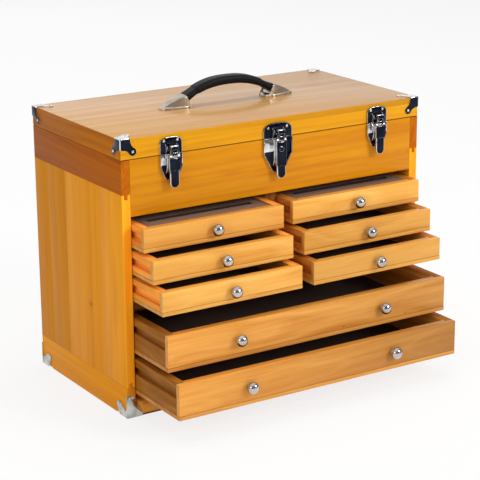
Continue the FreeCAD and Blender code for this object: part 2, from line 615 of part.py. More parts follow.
def latch(label, x, half, base_low, taper, catch_high, body_low, tongue_low, nail_at):
    face_y = "(-case_depth / 2 - latch_sheet)"
    at = "((%s) + (%%s))" % x
    corners = [(at % ("-" + half), "case_top - lid_gap"), (at % half, "case_top - lid_gap"), (at % half, taper),
               (at % "taper_half", base_low), (at % "-taper_half", base_low), (at % ("-" + half), taper)]
    sheet_plate = plate(label + "_base", "XZ_Plane", corners, face_y, "latch_sheet")
    pin_y = "(-case_depth / 2 - lever_pin_out)"
    ears = []
    ear_at = "lever_half + knuckle_gap"
    for letter, x_span in (("a", (at % ear_at, at % (ear_at + " + latch_sheet"))),
                           ("b", (at % ("-(%s) - latch_sheet" % ear_at), at % ("-(%s)" % ear_at)))):
        ears.append(block("%s_ear_%s" % (label, letter), x_span,
                          (pin_y + " - 2 * lever_pin", face_y), ("lever_pin_high - lever_pin_out",
                                                                 "case_top - lid_gap")))
    frame = joined(label + "_frame", [sheet_plate] + ears)
    pin_start = (at % ("-(%s) - latch_sheet" % ear_at), pin_y, "lever_pin_high")
    pin_length = "2 * (%s + latch_sheet)" % ear_at
    pin_seat = round_bar(label + "_pin_seat", V(1, 0, 0), "lever_pin", pin_start, pin_length)
    base_item = carved(label + "_base_plate", frame, pin_seat)
    pin = round_bar(label + "_pin", V(1, 0, 0), "lever_pin", pin_start, pin_length)

    # Lever: a folded face with two cheeks on the pin, a tongue below, and a barrel on top.
    out_y = "(-case_depth / 2 - lever_front)"
    lever_face = block(label + "_lever_face", (at % "-lever_half", at % "lever_half"),
                       (out_y, out_y + " + lever_sheet"), (body_low, "claw_pin_high"))
    tongue = block(label + "_lever_tongue", (at % "-tongue_half", at % "tongue_half"),
                   (out_y, out_y + " + lever_sheet"), (tongue_low + " + tongue_half", body_low))
    tip = round_bar(label + "_lever_tip", V(0, 1, 0), "tongue_half",
                    (x, out_y, tongue_low + " + tongue_half"), "lever_sheet")
    cheeks = []
    for letter, x_span in (("a", (at % "lever_half - latch_sheet", at % "lever_half")),
                           ("b", (at % "-lever_half", at % "-lever_half + latch_sheet"))):
        cheeks.append(block("%s_cheek_%s" % (label, letter), x_span,
                            (out_y + " + lever_sheet", pin_y + " + lever_pin + latch_sheet"),
                            ("lever_pin_high - lever_pin_out * 2", "lever_pin_high + lever_pin + latch_sheet / 2")))
    claw_y = "(-case_depth / 2 - claw_pin_out)"
    barrel_length = "lever_half - claw_half - knuckle_gap"
    barrels = []
    for letter, from_x in (("a", at % "claw_half + knuckle_gap"), ("b", at % "-lever_half")):
        barrels.append(round_bar("%s_barrel_%s" % (label, letter), V(1, 0, 0), "barrel",
                                 (from_x, claw_y, "claw_pin_high"), barrel_length))
    whole_lever = joined(label + "_lever_whole", [lever_face, tongue, tip] + cheeks + barrels)
    claw_room = block(label + "_claw_room", (at % "-claw_half - knuckle_gap", at % "claw_half + knuckle_gap"),
                      (out_y + " - knuckle_gap", claw_y + " + barrel + knuckle_gap"),
                      ("claw_pin_high - barrel - knuckle_gap", "claw_pin_high + barrel + knuckle_gap"))
    lever_hole = round_bar(label + "_lever_hole", V(1, 0, 0), "lever_pin + running_gap", pin_start, pin_length)
    claw_pin_start = (at % "-lever_half", claw_y, "claw_pin_high")
    claw_seat = round_bar(label + "_claw_seat", V(1, 0, 0), "claw_pin", claw_pin_start, "2 * lever_half")
    lever = carved(label + "_lever", whole_lever, joined(label + "_lever_cuts", [claw_room, lever_hole, claw_seat]))
    claw_pin = round_bar(label + "_claw_pin", V(1, 0, 0), "claw_pin", claw_pin_start, "2 * lever_half")

    # Claw: a barrel on its pin, a flat strap, and a rolled end in front of the catch's lip.
    hook_y = "(-case_depth / 2 - latch_sheet - lever_pin_out + latch_sheet - hook_gap - hook_radius)"
    claw_barrel = round_bar(label + "_claw_barrel", V(1, 0, 0), "barrel",
                            (at % "-claw_half", claw_y, "claw_pin_high"), "2 * claw_half")
    strap_y = (claw_y + " - barrel", claw_y + " - barrel + latch_sheet")
    strap = block(label + "_strap", (at % "-claw_half", at % "claw_half"), strap_y,
                  ("claw_pin_high", "claw_high - hook_radius"))
    head = block(label + "_head", (at % "-claw_head_half", at % "claw_head_half"), strap_y,
                 ("claw_pin_high + barrel + 2 * knuckle_gap", "claw_high - hook_radius"))
    hook = round_bar(label + "_hook", V(1, 0, 0), "hook_radius",
                     (at % "-claw_head_half", hook_y, "claw_high - hook_radius"), "2 * claw_head_half")
    bridge = block(label + "_bridge", (at % "-claw_head_half", at % "claw_head_half"),
                   (strap_y[0], hook_y), ("claw_high - 1.5 * hook_radius", "claw_high"))
    whole_claw = joined(label + "_claw_whole", [claw_barrel, strap, head, hook, bridge])
    claw_hole = round_bar(label + "_claw_hole", V(1, 0, 0), "claw_pin + running_gap", claw_pin_start, "2 * lever_half")
    claw = carved(label + "_claw", whole_claw, claw_hole)

    # Catch: a plate with an arched top and a lip.
    arch = "(%s) * 0.45" % half
    shoulder = "(%s) - (%s)" % (catch_high, arch)
    rim = []
    for x_part, z_part in ((1, 0), (0.96, 0.38), (0.8, 0.7), (0.56, 0.9), (0.3, 0.98)):
        rim.append((x_part, z_part))
    corners = [(at % ("-" + half), "case_top + lid_gap"), (at % half, "case_top + lid_gap")]
    corners += [(at % ("%s * %s" % (half, a)), "%s + %s * %s" % (shoulder, arch, b)) for a, b in rim]
    corners += [(at % "0", catch_high)]
    corners += [(at % ("-%s * %s" % (half, a)), "%s + %s * %s" % (shoulder, arch, b)) for a, b in reversed(rim)]
    catch_plate = plate(label + "_catch_plate", "XZ_Plane", corners, face_y, "latch_sheet")
    lip = block(label + "_lip", (at % "-lip_half", at % "lip_half"),
                ("(-case_depth / 2 - lever_pin_out)", face_y), ("lip_low", "lip_low + lip_thick"))
    catch = joined(label + "_catch", [catch_plate, lip])
    nails = [disc_on("%s_nail_%s" % (label, letter), "front", at % away, face_y, "nail_height",
                     "nail_radius", "nail_head")
             for letter, away in (("a", "-" + nail_at), ("b", nail_at))]
    lid_nails.extend(nails)
    return base_item, pin, lever, claw_pin, claw, catch


OUTER = ("outer_plate_half", "outer_base_low", "outer_taper", "outer_catch_high",
         "outer_body_low", "outer_tongue_low", "outer_nail")
MIDDLE = tuple(name.replace("outer", "middle") for name in OUTER)
LATCHES = {"left": latch("latch_left", "-latch_spread", *OUTER),
           "middle": latch("latch_middle", "0", *MIDDLE),
           "right": latch("latch_right", "latch_spread", *OUTER)}
node("latch_bases", [item for pieces in LATCHES.values() for item in pieces[:2]])
node("latch_catches", [pieces[5] for pieces in LATCHES.values()])
lock_y = "(-case_depth / 2 - lever_front)"
lock_disc = disc_on("lock_disc", "front", "0", lock_y, "keyhole_high", "lock_radius", "lock_proud")
lock_slot = block("lock_slot", ("-lock_radius * 0.18", "lock_radius * 0.18"),
                  (lock_y + " - lock_proud", lock_y), ("keyhole_high - lock_radius * 0.6",
                                                       "keyhole_high + lock_radius * 0.6"))
lock_face = carved("lock_face", lock_disc, lock_slot)
for where, pieces in LATCHES.items():
    extra = [lock_face] if where == "middle" else []
    node("latch_lever_" + where, [pieces[2], pieces[3]] + extra)
    node("latch_claw_" + where, [pieces[4]])
node("lid_nails", lid_nails)

# Handle: a leather grip between two metal caps on the lid. The grip's side outline is drawn for the
# right half and turned over for the left, in shares of the handle's half length and its rise.
GRIP = [(0, 1), (0.098, 0.994), (0.265, 0.917), (0.422, 0.773), (0.49, 0.702), (0.505, 0.657),
        (0.608, 0.591), (0.701, 0.483), (0.735, 0.348), (0.628, 0.127), (0.593, 0.262), (0.505, 0.315),
        (0.402, 0.508), (0.265, 0.597), (0.098, 0.633), (0, 0.63)]


def handle_point(along, up):
    return ("handle_reach * %s" % along, "chest_top + handle_rise * %s" % up)


right_half = [handle_point(along, up) for along, up in GRIP]
left_half = [handle_point(-along, up) for along, up in reversed(GRIP[1:-1])]
grip_body = plate("grip_body", "XZ_Plane", right_half + left_half, "-grip_half_width", "2 * grip_half_width")
grip_edges = doc.addObject("Part::Fillet", "grip_rounded")
grip_edges.Base = grip_body
doc.recompute()
edge_size = measured("grip_edge")
inside_caps = measured("handle_reach * 0.704")
rounded = []
for number, edge in enumerate(grip_body.Shape.Edges, start=1):
    ends = [point.Point for point in edge.Vertexes]
    lies_on_side = abs(ends[0].y - ends[1].y) < NEARLY_ZERO
    if lies_on_side and max(abs(point.x) for point in ends) < inside_caps:
        rounded.append((number, edge_size, edge_size))
grip_edges.Edges = rounded
doc.recompute()
node("handle_grip", [grip_edges])

cap_between = plate("cap_between", "XY_Plane",
                    [("cap_wide", "-cap_wide_radius"), ("cap_tip", "-cap_tip_radius"),
                     ("cap_tip", "cap_tip_radius"), ("cap_wide", "cap_wide_radius")],
                    "chest_top", "cap_base")
cap_ends = [round_bar("cap_wide_end", V(0, 0, 1), "cap_wide_radius", ("cap_wide", "0", "chest_top"), "cap_base"),
            round_bar("cap_tip_end", V(0, 0, 1), "cap_tip_radius", ("cap_tip", "0", "chest_top"), "cap_base")]
SLEEVE = [(0.559, 0), (0.564, 0.18), (0.578, 0.232), (0.716, 0.514), (0.784, 0.42), (0.882, 0.207), (0.951, 0)]
sleeve = plate("cap_sleeve", "XZ_Plane", [handle_point(along, up) for along, up in SLEEVE],
               "-cap_wide_radius + sleeve_margin", "2 * (cap_wide_radius - sleeve_margin)")
cap_whole = joined("cap_whole", [cap_between, sleeve] + cap_ends)
grip_plug = plate("grip_plug", "XZ_Plane", right_half + left_half, "-grip_half_width", "2 * grip_half_width")
cap_hollow = carved("cap_hollow", cap_whole, grip_plug)
node("handle_caps", [cap_hollow, mirrored("cap_left", cap_hollow)])

# Check every object, then write one file per piece.
doc.recompute()
faults = [item.Label for item in doc.Objects
          if "Invalid" in item.State or "Error" in item.State
          or (hasattr(item, "Shape") and item.TypeId.startswith("Part") and
              (item.Shape.isNull() or not item.Shape.isValid()))]
if faults:
    raise RuntimeError("faulty objects: " + ", ".join(faults))
for name, item in NODES.items():
    item.Label = name
    item.Shape.exportStep("parts/%s.step" % name)
print("pieces:", len(NODES))
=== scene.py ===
# %% [markdown]
# # A machinist's toolbox of varnished wood
#
# The box is a case of honey-coloured boards with a hinged lid, eight drawers and bright pressed
# fittings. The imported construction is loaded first. It fixes where everything is, and this lesson
# dresses it: each wooden part gets eased edges and its own grain, each metal part its own finish.

import json
import math
import random

import bmesh
import bpy
from mathutils import Matrix, Vector


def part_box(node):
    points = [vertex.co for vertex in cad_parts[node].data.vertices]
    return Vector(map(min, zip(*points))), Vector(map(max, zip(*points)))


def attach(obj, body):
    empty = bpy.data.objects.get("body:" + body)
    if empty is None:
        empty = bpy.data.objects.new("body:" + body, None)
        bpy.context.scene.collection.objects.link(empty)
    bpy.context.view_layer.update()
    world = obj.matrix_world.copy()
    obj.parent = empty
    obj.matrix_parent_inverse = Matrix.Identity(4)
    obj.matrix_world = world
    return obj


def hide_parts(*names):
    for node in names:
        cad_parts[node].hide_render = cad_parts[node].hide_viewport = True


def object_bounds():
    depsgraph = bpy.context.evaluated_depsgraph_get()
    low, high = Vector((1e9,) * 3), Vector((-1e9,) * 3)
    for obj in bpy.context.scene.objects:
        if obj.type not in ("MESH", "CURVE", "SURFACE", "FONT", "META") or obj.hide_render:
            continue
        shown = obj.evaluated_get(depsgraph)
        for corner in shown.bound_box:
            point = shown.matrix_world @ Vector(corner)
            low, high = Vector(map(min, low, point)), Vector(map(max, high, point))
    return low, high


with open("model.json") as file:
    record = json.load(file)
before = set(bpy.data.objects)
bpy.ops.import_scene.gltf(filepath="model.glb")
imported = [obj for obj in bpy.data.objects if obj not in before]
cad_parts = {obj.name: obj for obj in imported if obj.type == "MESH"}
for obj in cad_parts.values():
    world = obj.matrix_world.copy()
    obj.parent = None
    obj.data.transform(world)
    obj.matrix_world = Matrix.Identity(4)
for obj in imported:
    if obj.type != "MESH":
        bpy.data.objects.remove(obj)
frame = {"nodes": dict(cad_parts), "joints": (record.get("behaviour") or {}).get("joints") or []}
cad_low, cad_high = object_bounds()
MM = 0.001
print("construction box in mm:", [round(v / MM) for v in (*cad_low, *cad_high)])

# %% [markdown]
# ## Making pieces
#
# Every piece is shaped in a bmesh, which is Blender's editable mesh, and then written to an object.
# Objects could also be added with the editor's operators, but those work on whatever is selected,
# while a bmesh is simply a value that a function can take and return. One short function writes them
# all, so each piece gets its body, its finish and the construction nodes that it stands for alike.

# %% Joining bmeshes
TIMBER, TONE = "timber", "tone"


def merge_in(whole, part):
    """Adds one bmesh to another and frees it."""
    carried = bpy.data.meshes.new("carried")
    part.to_mesh(carried)
    part.free()
    whole.from_mesh(carried)
    bpy.data.meshes.remove(carried)


def one_mesh(parts):
    """Several bmeshes as one, with room for the two values that wood keeps at each corner."""
    whole = bmesh.new()
    whole.loops.layers.float_vector.new(TIMBER)
    whole.loops.layers.float.new(TONE)
    for part in parts:
        merge_in(whole, part)
    return whole


# %% From a bmesh to a piece
def finish_piece(name, bm, finishes, body, stands_for, smooth_under=40):
    """Writes a bmesh to a new object that rides on a body and carries its finishes."""
    mesh = bpy.data.meshes.new(name)
    bm.to_mesh(mesh)
    bm.free()
    for finish in finishes:
        mesh.materials.append(finish)
    mesh.shade_smooth()
    mesh.set_sharp_from_angle(angle=math.radians(smooth_under))
    piece = bpy.data.objects.new(name, mesh)
    bpy.context.scene.collection.objects.link(piece)
    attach(piece, body)
    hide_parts(*stands_for)
    print(name, len(mesh.polygons), "faces")
    return piece


# %% Reading places from the construction
def spans(node):
    """Where a construction node begins and ends along X, Y and Z, in metres."""
    low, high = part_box(node)
    return [(low[i], high[i]) for i in range(3)]


def in_mm(node):
    """A node's spans in millimetres."""
    return [(round(low / MM, 3), round(high / MM, 3)) for low, high in spans(node)]


def extent(bm):
    """Where a bmesh begins and ends along X, Y and Z."""
    return [(min(v.co[i] for v in bm.verts), max(v.co[i] for v in bm.verts)) for i in range(3)]


print("lid top in mm:", in_mm("lid_top"))

# %% [markdown]
# ## The camera
#
# The photograph was taken from the box's front left, a little above the lid. A long lens from a few
# paces away keeps upright edges almost parallel. The camera could be turned with a Track To
# constraint, but three plain turns also hold its small tilt, which a constraint would level out.

# %% Camera
CAMERA_AT = (-1.14756, -1.84608, 0.81429)
VIEW_TURN = math.radians(-32.295)
VIEW_DOWN = math.radians(90 - 16.593)
VIEW_ROLL = math.radians(-0.435)
FOCAL_LENGTH = 125.8
SENSOR_WIDTH = 36
lens = bpy.data.cameras.new("photo_camera")
lens.lens = FOCAL_LENGTH
lens.sensor_width = SENSOR_WIDTH
lens.clip_start = 0.1
lens.clip_end = 60
camera = bpy.data.objects.new("photo_camera", lens)
bpy.context.scene.collection.objects.link(camera)
camera.matrix_world = (
    Matrix.Translation(CAMERA_AT)
    @ Matrix.Rotation(VIEW_TURN, 4, "Z")
    @ Matrix.Rotation(VIEW_DOWN, 4, "X")
    @ Matrix.Rotation(VIEW_ROLL, 4, "Z")
)
bpy.context.scene.camera = camera
bpy.context.scene.view_settings.view_transform = "Standard"
print("camera at", [round(v, 3) for v in camera.location])

# %% [markdown]
# ## Building materials from nodes
#
# A finish is a tree of nodes that ends in a shader. In the editor each node is added and wired by
# hand. The helpers below do one such step in one line, so that a finish further down reads like a
# recipe: what pattern, how it is stretched, which colours it runs through, how rough it is.


# %% Trees and nodes
def blank_material(name):
    """A material with only its output, its tree and its links."""
    material = bpy.data.materials.new(name)
    material.use_nodes = True
    tree = material.node_tree
    tree.nodes.clear()
    return material, tree


def add(tree, kind, **settings):
    """Adds a node. Settings that name an input set that input, and the others set the node."""
    node = tree.nodes.new(kind)
    for key, value in settings.items():
        label = key.replace("_", " ").title()
        if label in node.inputs:
            node.inputs[label].default_value = value
        else:
            setattr(node, key, value)
    return node


# %% Sums and patterns
def maths(tree, operation, first, second=None, third=None, clamp=False):
    """A Math node whose inputs are sockets or numbers."""
    node = add(tree, "ShaderNodeMath", operation=operation, use_clamp=clamp)
    for place, value in enumerate((first, second, third)):
        if value is None:
            continue
        if isinstance(value, (int, float)):
            node.inputs[place].default_value = value
        else:
            tree.links.new(value, node.inputs[place])
    return node.outputs[0]


def vector_maths(tree, operation, vector):
    """A Vector Math node on a vector. Its other inputs are left to the caller."""
    node = add(tree, "ShaderNodeVectorMath", operation=operation)
    tree.links.new(vector, node.inputs[0])
    return node


def stretched(tree, vector, scale):
    """A vector multiplied by three factors, which stretches what is drawn on it."""
    node = vector_maths(tree, "MULTIPLY", vector)
    node.inputs[1].default_value = scale
    return node.outputs[0]


def noise(tree, vector, scale=1.0, detail=2.0, roughness=0.5):
    """A noise from 0 to 1 on a vector."""
    node = add(tree, "ShaderNodeTexNoise", scale=scale, detail=detail, roughness=roughness)
    tree.links.new(vector, node.inputs["Vector"])
    return node.outputs["Fac"]


# %% Colours
def shade(red, green, blue):
    """A screen colour from 0 to 255 as the linear colour that Blender wants."""
    def linear(value):
        value /= 255
        return value / 12.92 if value <= 0.04045 else ((value + 0.055) / 1.055) ** 2.4
    return linear(red), linear(green), linear(blue)


def ramp(tree, factor, stops):
    """A colour ramp through (place, colour) stops."""
    node = tree.nodes.new("ShaderNodeValToRGB")
    elements = node.color_ramp.elements
    while len(elements) < len(stops):
        elements.new(0.5)
    for element, (place, colour) in zip(elements, stops):
        element.position = place
        element.color = (*colour, 1)
    tree.links.new(factor, node.inputs["Fac"])
    return node.outputs["Color"]


def mixed(tree, factor, first, second):
    """A colour mix whose inputs are sockets, colours or a number for the factor."""
    node = add(tree, "ShaderNodeMix", data_type="RGBA")
    for socket, value in ((node.inputs[0], factor), (node.inputs[6], first), (node.inputs[7], second)):
        if isinstance(value, (int, float)):
            socket.default_value = value
        elif isinstance(value, tuple):
            socket.default_value = (*value, 1)
        else:
            tree.links.new(value, socket)
    return node.outputs[2]


# %% Bumps and the shader
def bump(tree, height, distance, strength=1.0):
    """A bump from a height from 0 to 1, with its depth in metres."""
    node = add(tree, "ShaderNodeBump", strength=strength, distance=distance)
    tree.links.new(height, node.inputs["Height"])
    return node.outputs["Normal"]


def surface(tree, **values):
    """A Principled shader. Numbers and colours are set on its own sockets, and sockets are linked."""
    shader = tree.nodes.new("ShaderNodeBsdfPrincipled")
    for key, value in values.items():
        socket = shader.inputs[key.replace("_", " ").title().replace("Ior", "IOR")]
        if isinstance(value, (int, float)):
            socket.default_value = value
        elif isinstance(value, tuple):
            socket.default_value = (*value, 1) if len(value) == 3 else value
        else:
            tree.links.new(value, socket)
    output = tree.nodes.new("ShaderNodeOutputMaterial")
    tree.links.new(shader.outputs[0], output.inputs["Surface"])
    return shader


# %% [markdown]
# ## The studio
#
# The box stands on a pale floor in soft light, as in a catalogue. A plain white world would do for
# the wood, but polished metal shows what stands round it, and in a white room it looks like paper.
# So the world is plain white to the camera and a tent in reflections: bright behind the box and
# overhead, dim elsewhere. That gives bright fittings the dark bands that they need.


# %% World
def seen_directly(tree):
    """1 for camera, glossy and transmission rays, which show the background."""
    path = tree.nodes.new("ShaderNodeLightPath")
    first = maths(tree, "MAXIMUM", path.outputs["Is Camera Ray"], path.outputs["Is Glossy Ray"])
    return maths(tree, "MAXIMUM", first, path.outputs["Is Transmission Ray"])


WORLD_LIGHT = 0.5
WHITE = (1.0, 1.0, 1.0)
TENT_DIM = (0.2, 0.2, 0.21)
# How fast the tent brightens in a direction, and how bright it is level with the box.
TENT_BEHIND = (1.6, 0.35)
TENT_OVERHEAD = (5.0, -3.2)
world = bpy.data.worlds.new("studio")
world.use_nodes = True
bpy.context.scene.world = world
sky = world.node_tree
sky.nodes.clear()
lighting = add(sky, "ShaderNodeBackground", color=(*WHITE, 1), strength=WORLD_LIGHT)
direction = sky.nodes.new("ShaderNodeTexCoord").outputs["Generated"]
parts_of_way = sky.nodes.new("ShaderNodeSeparateXYZ")
sky.links.new(direction, parts_of_way.inputs[0])
behind = maths(sky, "MULTIPLY_ADD", parts_of_way.outputs["Y"], *TENT_BEHIND, clamp=True)
overhead = maths(sky, "MULTIPLY_ADD", parts_of_way.outputs["Z"], *TENT_OVERHEAD, clamp=True)
tent = mixed(sky, maths(sky, "MAXIMUM", behind, overhead), TENT_DIM, WHITE)
only_glossy = sky.nodes.new("ShaderNodeLightPath").outputs["Is Glossy Ray"]
backdrop = add(sky, "ShaderNodeBackground", strength=1.0)
sky.links.new(mixed(sky, only_glossy, WHITE, tent), backdrop.inputs["Color"])
world_mix = sky.nodes.new("ShaderNodeMixShader")
sky.links.new(seen_directly(sky), world_mix.inputs[0])
sky.links.new(lighting.outputs[0], world_mix.inputs[1])
sky.links.new(backdrop.outputs[0], world_mix.inputs[2])
world_out = sky.nodes.new("ShaderNodeOutputWorld")
sky.links.new(world_mix.outputs[0], world_out.inputs["Surface"])
print("world nodes:", len(sky.nodes))

# %% [markdown]
# ## The floor
#
# The floor is one large sheet. A white sheet in soft light comes out grey, and a sheet that glows
# loses its shadows. Mixed, the glow lifts it to nearly white and the matt part still takes the soft
# shadow that sets the box down.

# %% Floor
FLOOR_HALF = 20
FLOOR_GLOW = 0.8
FLOOR_PAINT = (0.86, 0.86, 0.86)
floor_bm = bmesh.new()
bmesh.ops.create_grid(floor_bm, x_segments=4, y_segments=4, size=FLOOR_HALF)
floor_mesh = bpy.data.meshes.new("studio_floor")
floor_bm.to_mesh(floor_mesh)
floor_bm.free()
floor = bpy.data.objects.new("studio_floor", floor_mesh)
bpy.context.scene.collection.objects.link(floor)
floor_paint, tree = blank_material("pale_floor")
matt = add(tree, "ShaderNodeBsdfDiffuse", color=(*FLOOR_PAINT, 1))
glow = add(tree, "ShaderNodeEmission", color=(*WHITE, 1), strength=1.0)
blend = tree.nodes.new("ShaderNodeMixShader")
tree.links.new(maths(tree, "MULTIPLY", seen_directly(tree), FLOOR_GLOW), blend.inputs[0])
tree.links.new(matt.outputs[0], blend.inputs[1])
tree.links.new(glow.outputs[0], blend.inputs[2])
floor_out = tree.nodes.new("ShaderNodeOutputMaterial")
tree.links.new(blend.outputs[0], floor_out.inputs["Surface"])
floor_mesh.materials.append(floor_paint)
print("floor:", len(floor_mesh.polygons), "faces")

# %% [markdown]
# ## The lamps
#
# Four large square lamps stand round the box. A lamp's size sets how soft its shadow is, and its
# power falls off with distance. Only the key and the fill are mirrored in metal: two bright squares
# in a knob read as windows, and four would read as clutter.

# %% Lamps
LAMP_AIM = Vector((0, 0, 0.18))
# Name, place, size in metres, power in watts, and whether metal mirrors it.
LAMPS = (
    ("key", (1.7, -2.6, 1.7), 1.2, 52, True),
    ("fill", (-2.6, -1.4, 1.3), 1.6, 15, True),
    ("top", (0.1, 0.2, 2.8), 2.2, 34, False),
    ("rear", (0.6, 3.0, 1.8), 1.8, 16, False),
)
for lamp_name, place, size, power, mirrored_in_metal in LAMPS:
    light = bpy.data.lights.new(lamp_name, "AREA")
    light.shape = "SQUARE"
    light.size = size
    light.energy = power
    lamp = bpy.data.objects.new(lamp_name, light)
    bpy.context.scene.collection.objects.link(lamp)
    lamp.location = place
    lamp.rotation_euler = (LAMP_AIM - Vector(place)).to_track_quat("-Z", "Y").to_euler()
    lamp.visible_glossy = mirrored_in_metal
print("lamps:", len(LAMPS))

# %% [markdown]
# ## Varnished wood
#
# A board is a piece of a log. Each board therefore carries its own coordinates, with X along the
# fibres and the heart of the log at Y = Z = 0, in an attribute named timber. The distance from the
# heart gives the year rings, so the same material shows long flames on a face and arcs on an end.
# A photograph of planks could be wrapped round the box instead, but its grain would run over the
# joints. Stretched noise adds streaks and fibres, and a thin clear coat is the varnish.

# %% Year rings
WANDER_STRETCH, WANDER = (4, 14, 14), 0.03
ACROSS_THE_FIBRES = (0, 1, 1)


def year_rings(tree, timber, ring_width):
    """A noise of the distance from the heart, which wanders along the log. Width is in millimetres."""
    wander = noise(tree, stretched(tree, timber, WANDER_STRETCH), detail=2)
    length = vector_maths(tree, "LENGTH", stretched(tree, timber, ACROSS_THE_FIBRES))
    radius = maths(tree, "ADD", length.outputs["Value"], maths(tree, "MULTIPLY", wander, WANDER))
    rings = tree.nodes.new("ShaderNodeTexNoise")
    rings.noise_dimensions = "1D"
    rings.inputs["Scale"].default_value = 1 / (ring_width * MM)
    rings.inputs["Detail"].default_value = 3
    rings.inputs["Roughness"].default_value = 0.55
    tree.links.new(radius, rings.inputs["W"])
    return rings.outputs["Fac"]


# %% Knots and pitch marks
KNOT_BROWN = shade(90, 40, 12)


def knotted(tree, colour, streaks, knots):
    """Darkens small ragged spots. A knot is its place and size in millimetres and its depth of colour."""
    where = add(tree, "ShaderNodeTexCoord").outputs["Object"]
    for spot, size, depth in knots:
        away = vector_maths(tree, "DISTANCE", where)
        away.inputs[1].default_value = [v * MM for v in spot]
        ragged = maths(tree, "MULTIPLY_ADD", streaks, size * MM, away.outputs["Value"])
        near = maths(tree, "MULTIPLY_ADD", ragged, -1 / (size * MM), 1.5, clamp=True)
        colour = mixed(tree, maths(tree, "MULTIPLY", near, depth), colour, KNOT_BROWN)
    return colour


# %% The varnished wood finish
STREAK_STRETCH, FIBRE_STRETCH, PATCH_STRETCH = (3, 120, 120), (25, 1500, 1500), (2.2, 16, 16)
FIBRE_SHARE = 0.15
PATCH_START, PATCH_RISE = 0.42, 1.6
ROUGH_FIBRES, ROUGH_WOOD = 0.18, 0.34
GRAIN_DEEP, GRAIN_FELT = 0.12 * MM, 0.35


def varnished(name, light, middle, dark, blush, ring_width=6.0, ring_share=0.45, coat=0.2, gloss=0.12,
              spread=0.14, shine=0.15, knots=()):
    """Wood under clear varnish. A wide spread gives quiet grain, and blush tints broad patches."""
    material, tree = blank_material(name)
    timber = add(tree, "ShaderNodeAttribute", attribute_name=TIMBER).outputs["Vector"]
    tone = add(tree, "ShaderNodeAttribute", attribute_name=TONE).outputs["Fac"]
    streaks = noise(tree, stretched(tree, timber, STREAK_STRETCH), detail=4, roughness=0.6)
    fibres = noise(tree, stretched(tree, timber, FIBRE_STRETCH), detail=2)
    figure = maths(tree, "MULTIPLY", year_rings(tree, timber, ring_width), ring_share)
    figure = maths(tree, "MULTIPLY_ADD", streaks, 1 - FIBRE_SHARE - ring_share, figure)
    figure = maths(tree, "MULTIPLY_ADD", fibres, FIBRE_SHARE, figure)
    colour = ramp(tree, figure, ((0.5 - spread, dark), (0.5, middle), (0.5 + spread, light)))
    patches = noise(tree, stretched(tree, timber, PATCH_STRETCH), detail=2)
    patches = maths(tree, "SUBTRACT", patches, PATCH_START, clamp=True)
    colour = mixed(tree, maths(tree, "MULTIPLY", patches, PATCH_RISE, clamp=True), colour, blush)
    if knots:
        colour = knotted(tree, colour, streaks, knots)
    lit = vector_maths(tree, "SCALE", colour)
    tree.links.new(tone, lit.inputs["Scale"])
    surface(
        tree,
        base_color=lit.outputs[0],
        roughness=maths(tree, "MULTIPLY_ADD", fibres, ROUGH_FIBRES, ROUGH_WOOD),
        coat_weight=coat,
        coat_roughness=gloss,
        specular_ior_level=shine,
        normal=bump(tree, figure, GRAIN_DEEP, GRAIN_FELT),
    )
    return material


# %% [markdown]
# ## The woods of this box
#
# One kind of wood still comes in many colours: heartwood and sapwood, boards cut years apart, faces
# that saw more sun. Each part of the box gets its own four shades, read off the real one, rather
# than one wood tinted afterwards, because the grain's dark lines shift in hue as well as in strength.
# The left panel has one knot, and the upper wide drawer has two specks of pitch. On the lid and on
# the drawers' sides, though, copies of one wood differ by painted light and shade.

# %% Woods of the case and the lid
KNOT = (-225, -29.4, 126.1)
rail_wood = varnished("rail_wood", shade(197, 111, 12), shade(176, 93, 8), shade(145, 68, 6),
                      shade(184, 92, 10), ring_width=5, coat=0.05, spread=0.2, shine=0.03)
panel_wood = varnished("panel_wood", shade(237, 162, 39), shade(222, 144, 27), shade(193, 113, 17),
                       shade(214, 130, 26), ring_width=9, ring_share=0.3, coat=0.05, spread=0.34,
                       shine=0.03, knots=((KNOT, 3, 0.6), (KNOT, 9, 0.16)))
front_wood = varnished("front_wood", shade(228, 158, 14), shade(218, 140, 10), shade(194, 108, 8),
                       shade(198, 114, 8), ring_width=5, ring_share=0.3, coat=0.12, spread=0.18,
                       shine=0.08)
# The lid's three woods are copies of one wood: the top's is paler with painted sheen over its real coat, and
# the sides' is darker with painted shade.
lid_wood = varnished("lid_wood", shade(218, 173, 106), shade(202, 152, 88), shade(182, 127, 70),
                     shade(200, 143, 86), ring_width=14, coat=0.42, gloss=0.18, spread=0.22)
lid_rail_wood = varnished("lid_rail_wood", shade(238, 176, 20), shade(230, 160, 10), shade(208, 129, 8),
                          shade(223, 148, 12), ring_width=6, ring_share=0.3, coat=0.12, spread=0.18,
                          shine=0.08)
lid_side_shade_wood = varnished("lid_side_shade_wood", shade(214, 132, 20), shade(196, 114, 14), shade(166, 88, 10),
                          shade(200, 110, 16), ring_width=6, coat=0.05, spread=0.22, shine=0.03)
print("case woods:", rail_wood.name, panel_wood.name, front_wood.name)

# %% Woods of the drawers and the hidden boards
drawer_wood = varnished("drawer_wood", shade(246, 190, 98), shade(236, 168, 72), shade(210, 134, 48),
                        shade(234, 160, 70), ring_width=7, spread=0.16)
PITCH_MARKS = (((47.6, -202, 93.5), 1.5, 1.0), ((147.3, -202, 92.4), 1.4, 1.0))
wide_wood = varnished("wide_wood", shade(232, 168, 84), shade(218, 147, 61), shade(190, 114, 40),
                      shade(208, 134, 54), ring_width=7, spread=0.16, knots=PITCH_MARKS)
